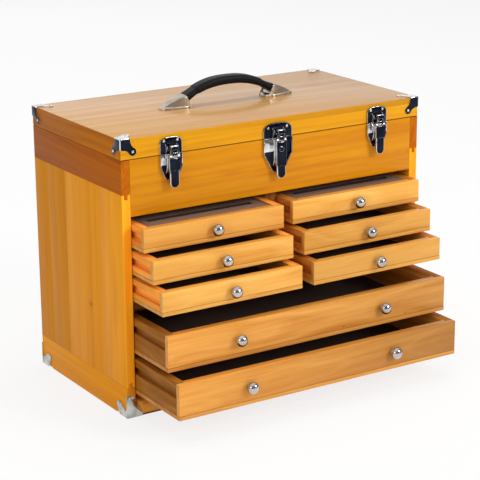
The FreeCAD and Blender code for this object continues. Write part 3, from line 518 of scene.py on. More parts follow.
# The drawers' sides take a darker, redder copy of the drawer wood: painted shade for sides that stand
# between the drawers.
drawer_side_wood = varnished("drawer_side_wood", shade(214, 146, 62), shade(194, 123, 46),
                             shade(158, 93, 31), shade(188, 112, 44), ring_width=5, coat=0.05, shine=0.05)
back_wood = varnished("back_wood", shade(222, 160, 60), shade(206, 138, 40), shade(176, 104, 26),
                      shade(200, 126, 38), ring_width=12, coat=0.1, spread=0.22,
                      shine=0.08)
cover_wood = varnished("cover_wood", shade(232, 168, 64), shade(216, 144, 46), shade(186, 110, 30),
                       shade(210, 130, 44), ring_width=9)
inner_wood = varnished("inner_wood", shade(176, 116, 60), shade(156, 98, 46), shade(124, 72, 32),
                       shade(146, 86, 40), ring_width=7, coat=0.0, gloss=0.5, shine=0.05)
print("drawer woods:", drawer_wood.name, wide_wood.name, drawer_side_wood.name)

# %% [markdown]
# ## Boards
#
# The construction's boards have razor edges, and real boards are eased with sandpaper, which gives
# each edge a thin highlight. A Bevel modifier would ease them too, but the construction's meshes are
# loose triangles that have no shared edges to bevel. So a copy of a node's mesh is joined up,
# cleaned of the cuts between flat triangles and then bevelled by half a millimetre.

# %% Easing edges
EASE = 0.55 * MM
HAIR = 0.01 * MM
SAME_PLACE = 0.001 * MM
FLAT = math.radians(1)


def eased(bm, width=EASE, segments=2, sharper_than=30, where=None):
    """Bevels every edge that is sharper than an angle, or those of them that where picks."""
    edges = [e for e in bm.edges
             if len(e.link_faces) == 2 and e.calc_face_angle(0) > math.radians(sharper_than)
             and (where is None or where(e))]
    bmesh.ops.bevel(bm, geom=edges, offset=width, offset_type="OFFSET", segments=segments,
                    profile=0.5, affect="EDGES", material=-1, clamp_overlap=True)
    return bm


# %% Copying construction boards
def islands(bm):
    """The numbers of the faces of each loose part of a bmesh."""
    found, waiting = [], set(bm.faces)
    while waiting:
        start = waiting.pop()
        group, outermost = [start], [start]
        while outermost:
            face = outermost.pop()
            for near in {f for e in face.edges for f in e.link_faces} & waiting:
                waiting.discard(near)
                group.append(near)
                outermost.append(near)
        found.append(sorted(f.index for f in group))
    return sorted(found)


def only(bm, wanted):
    """A copy of a bmesh that keeps the faces with the wanted numbers."""
    some = bm.copy()
    some.faces.ensure_lookup_table()
    unwanted = [f for f in some.faces if f.index not in wanted]
    bmesh.ops.delete(some, geom=unwanted, context="FACES")
    return some


def copied(node, joint_axis=None, joints=()):
    """A node's mesh as one clean bmesh for each of its solids. Joints split boards that touch."""
    source = bmesh.new()
    source.from_mesh(frame["nodes"][node].data)
    source.faces.ensure_lookup_table()
    groups = {}
    for face in source.faces:
        key = 0
        if joint_axis is not None:
            at = face.calc_center_median()[joint_axis] - HAIR * face.normal[joint_axis]
            key = sum(at > joint for joint in joints)
        groups.setdefault(key, set()).add(face.index)
    parts = []
    for key in sorted(groups):
        group = only(source, groups[key])
        bmesh.ops.remove_doubles(group, verts=group.verts, dist=SAME_PLACE)
        group.faces.ensure_lookup_table()
        group.faces.index_update()
        for island in islands(group):
            part = only(group, set(island))
            bmesh.ops.dissolve_limit(part, angle_limit=FLAT, verts=part.verts, edges=part.edges)
            parts.append(part)
        group.free()
    source.free()
    return parts


# %% [markdown]
# ## Grain that belongs to each board
#
# Two boards never come from the same place in a tree. Each board is given a log of its own by a
# random draw that starts from the board's name, so it is the same on every run. Its place in the log
# is written at the corners of its faces, together with a tone that makes end grain darker, paints
# shade into the seam and the joints and light or shade on some faces, and lets a board fade along its
# length.

# %% A board's place in its log
LOG_RUN = 20
OFF_MIDDLE = 0.3
UNDER_BARK = (0.05, 0.11)
LOG_LEAN = 0.03
TONE_DRAW = (0.97, 1.03)
END_GRAIN = 0.8
PLAIN = 1.0


def in_the_log(bm, along, key, tone=1.0, end_tone=END_GRAIN, heart=UNDER_BARK, askew=0.0,
               faces=None, box=None, shadow=None, fade=0.0):
    """Writes the timber coordinates and the tone of one board. Along is the axis of its fibres.
    Boards that are given the same key and box share one log. Shadow gives a face its painted light
    or shade, and fade is how much darker the board is at the end of its run."""
    draw = random.Random(key)
    across = [axis for axis in range(3) if axis != along]
    box = box or extent(bm)
    wide, thin = sorted(across, key=lambda axis: box[axis][0] - box[axis][1])
    timber = bm.loops.layers.float_vector.get(TIMBER) or bm.loops.layers.float_vector.new(TIMBER)
    tone_layer = bm.loops.layers.float.get(TONE) or bm.loops.layers.float.new(TONE)
    shift = draw.uniform(-LOG_RUN, LOG_RUN)
    off_middle = askew + draw.uniform(-OFF_MIDDLE, OFF_MIDDLE)
    middle = sum(box[wide]) / 2 + off_middle * (box[wide][1] - box[wide][0])
    depth = draw.uniform(*heart)
    slope = draw.uniform(-LOG_LEAN, LOG_LEAN)
    own_tone = tone * draw.uniform(*TONE_DRAW)
    for face in faces or bm.faces:
        face_tone = own_tone
        if abs(face.normal[along]) > 0.7:
            face_tone *= end_tone
        if shadow:
            face_tone *= shadow(face)
        for loop in face.loops:
            place = loop.vert.co
            run = place[along]
            loop[timber] = (run + shift, place[wide] - middle + slope * run,
                            place[thin] - box[thin][0] + depth + 0.5 * slope * run)
            share = (run - box[along][0]) / (box[along][1] - box[along][0])
            loop[tone_layer] = face_tone * (1 - fade * share * share)
    return bm


def wooden(node, along, finish, body, slot, tones=(1,), joint_axis=None, joints=(), **log):
    """Replaces a wooden node with eased boards that have their own grain."""
    parts = copied(node, joint_axis, joints)
    for number, part in enumerate(parts):
        eased(part)
        in_the_log(part, along, "%s %d" % (node, number), tones[number % len(tones)], **log)
    return finish_piece(node + "_boards", one_mesh(parts), [finish], body, [node])


# %% [markdown]
# ## The case
#
# Each end of the case is a panel of four upright boards between two rails that run from front to
# back. The till front and the shelf run from side to side. Grain follows the length of each board,
# which is how wood is cut, because it is strong only along its fibres. The four boards of a panel
# touch, so a merged copy of them would be one lump. It is split at the joints instead, and each
# board is drawn from its own log, because real panels are glued up from boards that don't match.

# %% Tones of the case
ALONG_X, ALONG_Y, ALONG_Z = 0, 1, 2
# Painted shade on the eased edges beside the lid's seam: deep on the front and back, faint on the sides.
SEAM_SHADE_TONE, SIDE_SEAM_SHADE_TONE = 0.3, 0.95
# Painted light on the side panels' front edges.
FRONT_EDGE_LIGHT = 1.4
SIDE_FADE = 0.22
PANEL_FRONT = spans("side_panel_left")[ALONG_Y][0]
SIDE_JOINTS = [PANEL_FRONT + joint * MM for joint in (58, 153, 202)]
SIDE_TONES = (1.13, 1.06, 0.86, 0.9)
UPPER_RAIL_TONE, UPPER_RAIL_END, UPPER_RAIL_ASKEW = 0.98, 1.2, 1.1
LOWER_RAIL_TONE, LOWER_RAIL_END = 1.16, 0.9
CASE_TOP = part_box("side_upper_rail_left")[1].z


def seam_shade_tone(face, way_in, beyond):
    """The tone of a face, with painted shade on the eased edge beside the lid's seam."""
    if not 0.3 < way_in < 0.98 or beyond:
        return PLAIN
    return SIDE_SEAM_SHADE_TONE if abs(face.normal.x) > 0.3 else SEAM_SHADE_TONE


def shade_under_seam(face):
    """The tone of a case face, with painted shade on its eased top edge, which looks up into the seam."""
    return seam_shade_tone(face, face.normal.z, face.calc_center_median().z < CASE_TOP - 1 * MM)


def lit_front_edge(face):
    """The tone of a panel face. Faces that look to the front get painted light, which lifts the drawers'
    shadow.
    """
    return FRONT_EDGE_LIGHT if face.normal.y < -0.7 else PLAIN


# %% Case boards
for side in ("left", "right"):
    wooden("side_upper_rail_" + side, ALONG_Y, rail_wood, "case", "rail_wood", (UPPER_RAIL_TONE,),
           end_tone=UPPER_RAIL_END, askew=UPPER_RAIL_ASKEW, shadow=shade_under_seam, fade=SIDE_FADE)
    wooden("side_lower_rail_" + side, ALONG_Y, panel_wood, "case", "rail_wood", (LOWER_RAIL_TONE,),
           end_tone=LOWER_RAIL_END)
    wooden("side_panel_" + side, ALONG_Z, panel_wood, "case", "panel_wood", SIDE_TONES, 1, SIDE_JOINTS,
           shadow=lit_front_edge)
wooden("till_front", ALONG_X, front_wood, "case", "front_wood", shadow=shade_under_seam)
wooden("back_panel", ALONG_X, back_wood, "case", "back_wood", shadow=shade_under_seam)
for node in ("till_floor", "bottom_panel", "drawer_shelf"):
    wooden(node, ALONG_X, inner_wood, "case", "inner_wood")
wooden("centre_divider", ALONG_Y, inner_wood, "case", "inner_wood")
wooden("drawer_runners", ALONG_Y, inner_wood, "case", "inner_wood")
wooden("front_cover", ALONG_X, cover_wood, "front_cover", "cover_wood")

# %% [markdown]
# ## The lid
#
# A thin top board lies on four rails. On the real lid the edges are sanded flush and varnished as
# one, so the boards share one log on each side of the lid, and only the seam over the case shows.
# For the same reason the edge between the top board and a rail isn't eased. Each face takes one of
# three copies of that wood by the way that it looks: a pale top with painted sheen, a bright front
# and back, and darker sides with painted shade.

# %% Lid boards
LID_BOX = [(cad_low[axis], cad_high[axis]) for axis in range(2)] + [
    (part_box("lid_front_rail")[0].z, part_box("lid_top")[1].z)]
LID_FADE = 0.28
LID_FINISHES = [lid_wood, lid_rail_wood, lid_side_shade_wood]
LID_SIDE_SHADE_TONE = 0.9


def shade_over_seam(face):
    """The tone of a lid face, with painted shade on its eased lower edge, which looks down into the seam."""
    return seam_shade_tone(face, -face.normal.z, face.calc_center_median().z > LID_BOX[2][0] + 1 * MM)


def outside_edge(edge):
    """True for edges on the lid's outside, apart from the flush joint under its top board."""
    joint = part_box("lid_top")[0].z
    return any(abs(v.co.z - joint) > HAIR for v in edge.verts)


for node in ("lid_top", "lid_front_rail", "lid_back_rail", "lid_side_rails"):
    parts = copied(node)
    for part in parts:
        eased(part, where=outside_edge)
        sides = [f for f in part.faces if abs(f.normal.x) > max(0.4, abs(f.normal.y))]
        rest = [f for f in part.faces if f not in sides]
        in_the_log(part, ALONG_X, "lid front", faces=rest, box=LID_BOX, end_tone=1, shadow=shade_over_seam,
                   fade=LID_FADE if node == "lid_top" else 0)
        in_the_log(part, ALONG_Y, "lid side", LID_SIDE_SHADE_TONE, faces=sides, box=LID_BOX, end_tone=1,
                   shadow=shade_over_seam, fade=SIDE_FADE)
        for face in part.faces:
            # Painted light by the way a face looks: sheen on the tops, shade on the sides.
            face.material_index = 2 if face in sides else 0 if abs(face.normal.z) > 0.9 else 1
    finish_piece(node + "_boards", one_mesh(parts), LID_FINISHES, "lid", [node])


# %% [markdown]
# ## Sawn shapes
#
# Many parts of this box are a flat outline with a thickness: a grooved drawer side, a pressed plate,
# a latch's ear. A cube could be cut down to each of them, but an outline that is pushed through is
# how they are really made, sawn or stamped, and it keeps a groove open at its ends.


# %% Planks and sawn outlines
def plank(x, y, z):
    """A plain board between the given faces."""
    bm = bmesh.new()
    bmesh.ops.create_cube(bm, size=1)
    bmesh.ops.scale(bm, vec=(x[1] - x[0], y[1] - y[0], z[1] - z[0]), verts=bm.verts)
    bmesh.ops.translate(bm, vec=(sum(x) / 2, sum(y) / 2, sum(z) / 2), verts=bm.verts)
    return bm


def sawn(corners, axis, start, stop):
    """A board with a sawn outline. The corners are in the plane across the axis."""
    bm = bmesh.new()
    others = [i for i in range(3) if i != axis]
    ring = []
    for corner in corners:
        place = [0, 0, 0]
        place[axis] = start
        place[others[0]], place[others[1]] = corner
        ring.append(bm.verts.new(place))
    face = bm.faces.new(ring)
    pushed = bmesh.ops.extrude_face_region(bm, geom=[face])
    moved = [v for v in pushed["geom"] if isinstance(v, bmesh.types.BMVert)]
    way = [0, 0, 0]
    way[axis] = stop - start
    bmesh.ops.translate(bm, vec=way, verts=moved)
    bmesh.ops.recalc_face_normals(bm, faces=bm.faces)
    return bm


# %% [markdown]
# ## Drawers
#
# A drawer is five boards: a front whose lap covers the ends of the sides, two sides with a groove
# that slides on a runner, a back, and a thin bottom under them all. One board at a time is sawn,
# eased and given its grain, so the joints between them show as they do on the real thing, with painted
# shade along the bottom board's joint. The boards differ in colour from drawer to drawer, and the wide
# fronts get darker towards their right end. The sides get a tone for each column, and their inner
# walls another, which is painted light and shade.

# %% Measures and tones of the drawers
BOARD = 12 * MM
LAP = 7 * MM
BACK_BOARD = 10 * MM
BOTTOM_BOARD = 5 * MM
GROOVE_HIGH = 10 * MM
GROOVE_DEEP = 5.7 * MM
DROPS = {"left": 8 * MM, "right": 8 * MM, "wide": 10 * MM}
# Painted shade on the eased edges along the bottom board's joint.
JOINT_SHADE_TONE = 0.75
JOINT_SHADOW = 0.6 * MM
BACK_TONE, BOTTOM_TONE = 0.85, 0.94
BOARD_EASES = (1.5, 1, 1, 1, 0.4)
FRONT_HEART = (0.02, 0.06)
# Painted light and shade for each column: a tone for the sides, and one for their inner walls on top.
SIDE_BOARD_LIGHT_TONES = {"left": 1.75, "right": 1.0, "wide": 0.62}
INSIDE_LIGHT_TONES = {"left": 0.5, "right": 1.3, "wide": 2.2}
FRONT_TONES = {"left_1": 1.0, "left_2": 1.0, "left_3": 1.02, "right_1": 1.06, "right_2": 0.86,
               "right_3": 0.88, "wide_1": 1.17, "wide_2": 1.18}
FRONT_FADES = {"wide_1": 0.34, "wide_2": 0.48}
DRAWERS = [side + "_%d" % row for side in ("left", "right") for row in (1, 2, 3)] + ["wide_1", "wide_2"]
print("drawers:", DRAWERS)


# %% Outlines of a drawer's boards
def front_outline(x0, x1, y0):
    """A drawer front seen from above, with a lap at both ends for the sides."""
    return [(x0, y0), (x1, y0), (x1, y0 + LAP), (x1 - BOARD, y0 + LAP), (x1 - BOARD, y0 + BOARD),
            (x0 + BOARD, y0 + BOARD), (x0 + BOARD, y0 + LAP), (x0, y0 + LAP)]


def side_outline(outer, way, floor_top, rim, drop):
    """A drawer side seen from the front, with its groove in the outer face."""
    inner, deep = outer + way * BOARD, outer + way * GROOVE_DEEP
    top, under = rim - drop, rim - drop - GROOVE_HIGH
    return [(outer, floor_top), (inner, floor_top), (inner, rim), (outer, rim), (outer, top), (deep, top),
            (deep, under), (outer, under)]


# %% Drawer boards
def drawer_boards(name):
    """The five boards of a drawer."""
    node = "drawer_%s_box" % name
    column = name.split("_")[0]
    (x0, x1), (y0, y1), (low, rim) = spans(node)
    floor_top = low + BOTTOM_BOARD
    boards = [(sawn(front_outline(x0, x1, y0), 2, floor_top, rim), ALONG_X, FRONT_TONES[name])]
    for outer, way in ((x0, 1), (x1, -1)):
        side = sawn(side_outline(outer, way, floor_top, rim, DROPS[column]), 1, y0 + LAP, y1)
        boards.append((side, ALONG_Y, SIDE_BOARD_LIGHT_TONES[column]))
    back = plank((x0 + BOARD, x1 - BOARD), (y1 - BACK_BOARD, y1), (floor_top, rim))
    boards.append((back, ALONG_X, BACK_TONE))
    boards.append((plank((x0, x1), (y0, y1), (low, floor_top)), ALONG_X, BOTTOM_TONE))

    def joint_shade_and_inside_light(face):
        """The tone of a face: painted shade by the bottom board's joint, painted light or shade inside."""
        middle = face.calc_center_median()
        outside = middle.y < y0 + JOINT_SHADOW or not x0 + JOINT_SHADOW < middle.x < x1 - JOINT_SHADOW
        if outside and abs(face.normal.z) > 0.3 and abs(middle.z - floor_top) < JOINT_SHADOW:
            return JOINT_SHADE_TONE
        inside = face.normal.x * (middle.x - (x0 + x1) / 2) < -0.1 * MM
        return INSIDE_LIGHT_TONES[column] if inside and middle.z > floor_top else PLAIN

    for number, (board, along, tone) in enumerate(boards):
        eased(board, EASE * BOARD_EASES[number])
        in_the_log(board, along, "%s board %d" % (name, number), tone, shadow=joint_shade_and_inside_light,
                   heart=FRONT_HEART if number == 0 else UNDER_BARK,
                   fade=FRONT_FADES.get(name, 0) if number == 0 else 0)
        for face in board.faces:
            face.material_index = 1 if number in (1, 2) else 0
    return finish_piece("drawer_%s_boards" % name, one_mesh([board for board, _, _ in boards]),
                        [wide_wood if column == "wide" else drawer_wood, drawer_side_wood], "drawer_" + name,
                        [node])


for name in DRAWERS:
    drawer_boards(name)


# %% [markdown]
# ## Felt
#
# Dark felt lines the drawers and the till. Hair particles could draw its nap, but at this size the
# fibres are too short to see one by one. So the felt is a thin pad whose top is not quite level, with
# a fine noise for its matting, and the shader's sheen lights it up at a low angle as short fibres do.

# %% Felt finish
FLUFF_SCALE, CLOUD_SCALE = 900, 18
FLUFF_DEEP, FLUFF_FELT = 0.4 * MM, 0.6
SHEEN_TINT = shade(150, 120, 105)


def felt_finish(name, dark, middle, light):
    """Felt with matted fibres."""
    material, tree = blank_material(name)
    place = add(tree, "ShaderNodeTexCoord").outputs["Object"]
    fluff = noise(tree, place, scale=FLUFF_SCALE, detail=4, roughness=0.7)
    cloud = noise(tree, place, scale=CLOUD_SCALE, detail=3)
    colour = ramp(tree, fluff, ((0.3, dark), (0.55, middle), (0.8, light)))
    colour = mixed(tree, maths(tree, "MULTIPLY", cloud, 0.5), colour, dark)
    surface(tree, base_color=colour, roughness=0.95, sheen_weight=0.5, sheen_roughness=0.45,
            sheen_tint=SHEEN_TINT, normal=bump(tree, fluff, FLUFF_DEEP, FLUFF_FELT))
    return material


felt = felt_finish("felt", shade(30, 22, 19), shade(50, 37, 31), shade(84, 64, 54))
# A paler copy of the felt for the top drawers' trays: painted light, as those drawers stand out of the shade
# of the others.
faded_felt = felt_finish("faded_felt", shade(100, 74, 58), shade(138, 106, 86), shade(172, 140, 118))
print("felts:", felt.name, faded_felt.name)

# %% Felt pads
PAD_CUTS = 24
PAD_DIPS = 0.25 * MM
PAD_ROUND = 0.35 * MM


def felt_pad(node, body):
    """A felt pad with a slightly uneven top whose rim is pressed down."""
    x, y, z = spans(node)
    bm = plank(x, y, z)
    long_edges = [e for e in bm.edges if abs(e.verts[0].co.z - e.verts[1].co.z) < HAIR]
    bmesh.ops.subdivide_edges(bm, edges=long_edges, cuts=PAD_CUTS, use_grid_fill=True)
    draw = random.Random(node)
    for v in bm.verts:
        inside = min(v.co.x - x[0], x[1] - v.co.x, v.co.y - y[0], y[1] - v.co.y) > 1 * MM
        if v.co.z > z[1] - HAIR:
            v.co.z -= draw.uniform(0, PAD_DIPS) if inside else PAD_ROUND
    return finish_piece(node + "_pad", bm, [felt], body, [node], smooth_under=60)


# %% [markdown]
# ## Felted trays
#
# The two top drawers are filled to just under their rims by a tray that is covered in a paler copy of
# the felt, which is painted light, with a narrow slot for rules near the front and a well for tools
# behind it. The slot and the well keep the dark felt, which paints shade into them. The tray starts as
# one block. Planes cut lines into its top, the fields between them are inset, and their middles are
# pushed down. That keeps the whole tray one closed skin, which a block with holes cut by a Boolean
# modifier would be too, but with untidy faces.

# %% Felted trays
TRAY_DRAWERS = ("left_1", "right_1")
TRAY_UNDER_RIM = 1.2 * MM
TRAY_SLOT = (22 * MM, 30 * MM)
TRAY_WELL = (66 * MM, 178 * MM)
TRAY_SLOT_DEEP, TRAY_WELL_DEEP = 9 * MM, 15 * MM
TRAY_BORDER = 14 * MM
TRAY_WALL = 0.4 * MM
TRAY_EASE = 1 * MM


def felt_tray(name):
    """A felted tray under a top drawer's rim, with a slot for rules in front of a well for tools."""
    node = "drawer_%s_felt" % name
    x, y, (low, _) = spans(node)
    bm = plank(x, y, (low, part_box("drawer_%s_box" % name)[1].z - TRAY_UNDER_RIM))
    cuts = [((0, y[0] + far, 0), (0, 1, 0)) for far in TRAY_SLOT + TRAY_WELL]
    cuts += [((x[0] + TRAY_BORDER, 0, 0), (1, 0, 0)), ((x[1] - TRAY_BORDER, 0, 0), (1, 0, 0))]
    for at, way in cuts:
        bmesh.ops.bisect_plane(bm, geom=bm.verts[:] + bm.edges[:] + bm.faces[:], plane_co=at, plane_no=way)
    for (start, stop), deep in ((TRAY_SLOT, TRAY_SLOT_DEEP), (TRAY_WELL, TRAY_WELL_DEEP)):
        hollow = [f for f in bm.faces if f.normal.z > 0.9
                  and y[0] + start < f.calc_center_median().y < y[0] + stop
                  and abs(f.calc_center_median().x - sum(x) / 2) < 1 * MM]
        walls = bmesh.ops.inset_region(bm, faces=hollow, thickness=TRAY_WALL)["faces"]
        bmesh.ops.translate(bm, vec=(0, 0, -deep), verts=hollow[0].verts)
        # The slot and the well keep the dark felt: painted shade in the hollows.
        for face in hollow + walls:
            face.material_index = 1
    eased(bm, TRAY_EASE, 3, 40)
    return finish_piece(node + "_tray", bm, [faded_felt, felt], "drawer_" + name, [node],
                        smooth_under=60)


# %% Felt in the drawers and the till
for name in DRAWERS:
    if name in TRAY_DRAWERS:
        felt_tray(name)
    else:
        felt_pad("drawer_%s_felt" % name, "drawer_" + name)
felt_pad("till_felt", "case")

# %% [markdown]
# ## Polished metal
#
# The fittings are pressed sheet with bright plating. Plating shows only what is around it, so its
# finish is nearly a mirror with faint polishing marks. Sheet is never quite flat either: slow waves
# in it break a reflection up, and those are a second, larger bump. Faces that look straight out are
# given a darker plating than the rounded rims, which is a painted reflection of a dark room, where
# the pale floor would mirror white.

# %% Metal finishes
RUB_STRETCH = (900, 900, 120)
RUB_DEEP = 0.005 * MM
METAL_CLOUDS, METAL_WAVES = 60, 130


def plated(name, bright, dull, roughness, marks=0.05, waves=0.0):
    """Plated metal with fine polishing marks and slight clouding. Waves are dents in metres."""
    material, tree = blank_material(name)
    place = add(tree, "ShaderNodeTexCoord").outputs["Object"]
    rub = noise(tree, stretched(tree, place, RUB_STRETCH), detail=3, roughness=0.6)
    cloud = noise(tree, place, scale=METAL_CLOUDS, detail=2)
    colour = ramp(tree, cloud, ((0.35, dull), (0.65, bright)))
    height = maths(tree, "MULTIPLY", rub, RUB_DEEP)
    if waves:
        swell = noise(tree, place, scale=METAL_WAVES, detail=1)
        height = maths(tree, "MULTIPLY_ADD", swell, waves, height)
    rough = maths(tree, "MULTIPLY_ADD", rub, marks, roughness)
    surface(tree, base_color=colour, metallic=1.0, roughness=rough, normal=bump(tree, height, 1.0))
    return material


pressed_chrome = plated("pressed_chrome", (0.84, 0.84, 0.85), (0.6, 0.6, 0.62), 0.07, waves=0.0007)
# Painted dark reflection: near-black plating for faces that look straight out.
dark_reflection_chrome = plated("dark_reflection_chrome", (0.018, 0.021, 0.034), (0.008, 0.01, 0.016), 0.1, waves=0.0004)
cap_metal = plated("cap_metal", (0.62, 0.61, 0.58), (0.3, 0.3, 0.28), 0.16, 0.1, waves=0.0006)
nail_metal = plated("nail_metal", (0.74, 0.75, 0.7), (0.46, 0.48, 0.42), 0.16)
knob_metal = plated("knob_metal", (0.6, 0.57, 0.55), (0.44, 0.41, 0.39), 0.1)
hinge_metal = plated("hinge_metal", (0.8, 0.8, 0.8), (0.66, 0.66, 0.67), 0.12)
nickel = plated("nickel", (0.6, 0.53, 0.44), (0.42, 0.36, 0.29), 0.25, 0.1, waves=0.0002)
FITTING = [pressed_chrome, dark_reflection_chrome]
print("metals:", pressed_chrome.name, dark_reflection_chrome.name, cap_metal.name, nickel.name)

# %% [markdown]
# ## Corner caps
#
# Each corner is guarded by a cap that is stamped from sheet and folded round it. It is made here in
# the same way: the leaves are laid out as flat outlines that meet in the corner, the folds between
# them are bevelled round, and Solidify gives the sheet its thickness. The lid's caps have three
# equal leaves. The case's caps have two, and the one on the side has a long curved arm.


# %% Outlines of the leaves
def both_ways(arm):
    """A leaf of two equal arms: an outline along one arm and its mirror image along the other."""
    return [(0, 0)] + arm + [(up, along) for along, up in reversed(arm)]


LID_LEAF = both_ways([(13.4, 0), (14.2, 3), (15, 7), (16.4, 10.2), (18.8, 12.5), (21, 14), (22.3, 16.2),
                      (22.4, 18.6), (21.2, 20.6), (20.0, 21.6)])
BASE_SIDE_LEAF = [(0, 0), (19.5, 0), (22.6, 2.6), (25.6, 7.4), (27.2, 11.4), (27, 14.8), (25, 17.2),
                  (22, 18.2), (18.8, 18), (16, 16.6), (12.6, 13.6), (9, 11.2), (5.5, 9.8), (3.4, 10),
                  (2, 12), (1.6, 16), (1.6, 29), (0, 29)]
BASE_FRONT_LEAF = [(0, 0), (20.5, 0), (22.3, 1.6), (22.4, 4.2), (20.5, 6.2), (17.5, 9), (14.6, 12.8),
                   (12.6, 17), (11.6, 21), (11.2, 25), (10, 27.8), (7.5, 29), (0, 29)]
print("points in the leaves:", len(LID_LEAF), len(BASE_SIDE_LEAF), len(BASE_FRONT_LEAF))

# %% Folding sheet round a corner
SHEET_FOLD, SHEET_THICK, SHEET_RIM = 1.2 * MM, 0.9 * MM, 0.22 * MM
SMALLEST_FACE = 8


def folded_sheet(corner, leaves):
    """Sheet that is folded round a corner. Each leaf has two directions, the way that it faces and
    an outline along its directions, in millimetres."""
    bm = bmesh.new()
    for along, up, outward, outline in leaves:
        places = [(corner + along * first + up * second) * MM for first, second in outline]
        face = bm.faces.new([bm.verts.new(place) for place in places])
        face.normal_update()
        if face.normal.dot(outward) < 0:
            face.normal_flip()
    bmesh.ops.remove_doubles(bm, verts=bm.verts, dist=HAIR)
    folds = [e for e in bm.edges if len(e.link_faces) == 2]
    bmesh.ops.bevel(bm, geom=folds, offset=SHEET_FOLD, offset_type="OFFSET", segments=4, profile=0.5,
                    affect="EDGES", material=-1, clamp_overlap=True)
    bmesh.ops.solidify(bm, geom=bm.faces[:], thickness=SHEET_THICK)
    bmesh.ops.recalc_face_normals(bm, faces=bm.faces)
    return eased(bm, SHEET_RIM, 2, 60)


def upright_face(face):
    """True for flat faces that stand upright and are more than a rim."""
    flat = max(abs(face.normal.x), abs(face.normal.y)) > 0.99
    return flat and face.calc_area() > SMALLEST_FACE * MM * MM


# %% Corner caps
UP = Vector((0, 0, 1))
CAP_X, CAP_Y, CAP_TOP = (high for _, high in in_mm("lid_corner_caps"))
lid_caps, base_caps = [], []
for toward_x in (-1, 1):
    for toward_y in (-1, 1):
        out_x, out_y = Vector((toward_x, 0, 0)), Vector((0, toward_y, 0))
        corner = CAP_X * out_x + CAP_Y * out_y
        cap = folded_sheet(corner + CAP_TOP * UP, [(-out_x, -UP, out_y, LID_LEAF),
                                                   (-out_y, -UP, out_x, LID_LEAF),
                                                   (-out_x, -out_y, UP, LID_LEAF)])
        # The caps' flat upright faces take the painted dark reflection.
        for face in cap.faces:
            face.material_index = 1 if upright_face(face) else 0
        lid_caps.append(cap)
        base_caps.append(folded_sheet(corner, [(-out_x, UP, out_y, BASE_FRONT_LEAF),
                                               (-out_y, UP, out_x, BASE_SIDE_LEAF)]))
finish_piece("lid_corner_caps_folded", one_mesh(lid_caps), FITTING, "lid", ["lid_corner_caps"])
finish_piece("base_corner_caps_folded", one_mesh(base_caps), [cap_metal], "case", ["base_corner_caps"])


# %% [markdown]
# ## Hinges
#
# Two butt hinges hold the lid at the back. Their leaves are in the construction already, so their
# mesh is copied, joined up and given the slightly rounded edges of stamped sheet.

# %% Hinge leaves
SHEET_EASE = 0.2 * MM


def metal_copy(node, finishes, body):
    """Replaces a metal node with eased sheet."""
    whole = eased(one_mesh(copied(node)), SHEET_EASE, 2, 40)
    return finish_piece(node + "_plated", whole, finishes, body, [node])


metal_copy("hinge_case_leaves", [hinge_metal], "case")
metal_copy("hinge_lid_leaves", [hinge_metal], "lid")

# %% [markdown]
# ## Nails
#
# Round-headed nails hold the plates on. A head is a small dome, so it is a profile of a few points
# that is spun round the nail's axis, as a lathe would turn it. Half a sphere would have its poles in
# the wrong place and no straight rim. The construction has flat heads, and each of them gives its
# dome its place, its radius and the way that it looks.


# %% Turning a profile
def turned(profile, centre, steps=40):
    """Spins a profile of (radius, reach) round an axis through the centre that points to -Y."""
    bm = bmesh.new()
    line = [bm.verts.new((radius, -reach, 0)) for radius, reach in profile]
    edges = [bm.edges.new(pair) for pair in zip(line, line[1:])]
    bmesh.ops.spin(bm, geom=line + edges, cent=(0, 0, 0), axis=(0, 1, 0), angle=math.tau,
                   steps=steps, use_merge=True)
    bmesh.ops.remove_doubles(bm, verts=bm.verts, dist=SAME_PLACE)
    bmesh.ops.recalc_face_normals(bm, faces=bm.faces)
    bmesh.ops.translate(bm, vec=centre, verts=bm.verts)
    return bm


# %% Nails
NAIL_PROFILE = [(0, 0), (1, 0), (1, 0.3), (0.9, 0.62), (0.66, 0.86), (0.34, 0.97), (0, 1)]
NAIL_STEPS = 20
MIDDLE_NAILS = 20 * MM
MIDDLE_NAILS_DROP = 3.5 * MM


def nail_dome(part):
    """One domed head in place of a flat one. Heads near the middle belong to the wide latch, where
    they sit lower."""
    span = extent(part)
    part.free()
    axis = min(range(3), key=lambda i: span[i][1] - span[i][0])
    middle = Vector([sum(pair) / 2 for pair in span])
    outward = middle[axis] > 0
    height = span[axis][1] - span[axis][0]
    radius = max(high - low for low, high in span) / 2
    middle[axis] = span[axis][0] if outward else span[axis][1]
    if abs(middle.x) < MIDDLE_NAILS:
        middle.z -= MIDDLE_NAILS_DROP
    dome = turned([(r * radius, h * height) for r, h in NAIL_PROFILE], (0, 0, 0), NAIL_STEPS)
    way = Vector((0, 0, 0))
    way[axis] = 1 if outward else -1
    turn = Vector((0, -1, 0)).rotation_difference(way).to_matrix()
    bmesh.ops.rotate(dome, verts=dome.verts, cent=(0, 0, 0), matrix=turn)
    bmesh.ops.translate(dome, vec=middle, verts=dome.verts)
    return dome


for node, body, slot in (("case_nails", "case", "cap_metal"), ("lid_nails", "lid", "chrome")):
    domes = one_mesh([nail_dome(part) for part in copied(node)])
    finish_piece(node + "_domed", domes, [nail_metal], body, [node], smooth_under=60)


# %% [markdown]
# ## Draw latches
#
# Three latches pull the lid down. Each has four pressed parts: a base plate whose edges are folded
# up into rims and ears, a boxed lever that turns between the ears, a claw that hangs on the lever,
# and an arched catch with a lip. They could be one mesh with its details in a bump, but then nothing
# could turn. They are drawn in millimetres round their own middle line, as folded sheet would be
# laid out, at the heights of their pins, and then put in place, so one drawing serves all three.


# %% Where the latches turn and part
def pivot(joint_name):
    """Where a joint turns, in millimetres."""
    joint = next(joint for joint in frame["joints"] if joint["name"] == joint_name)
    return [round(v / MM, 3) for v in joint["pos_m"]]


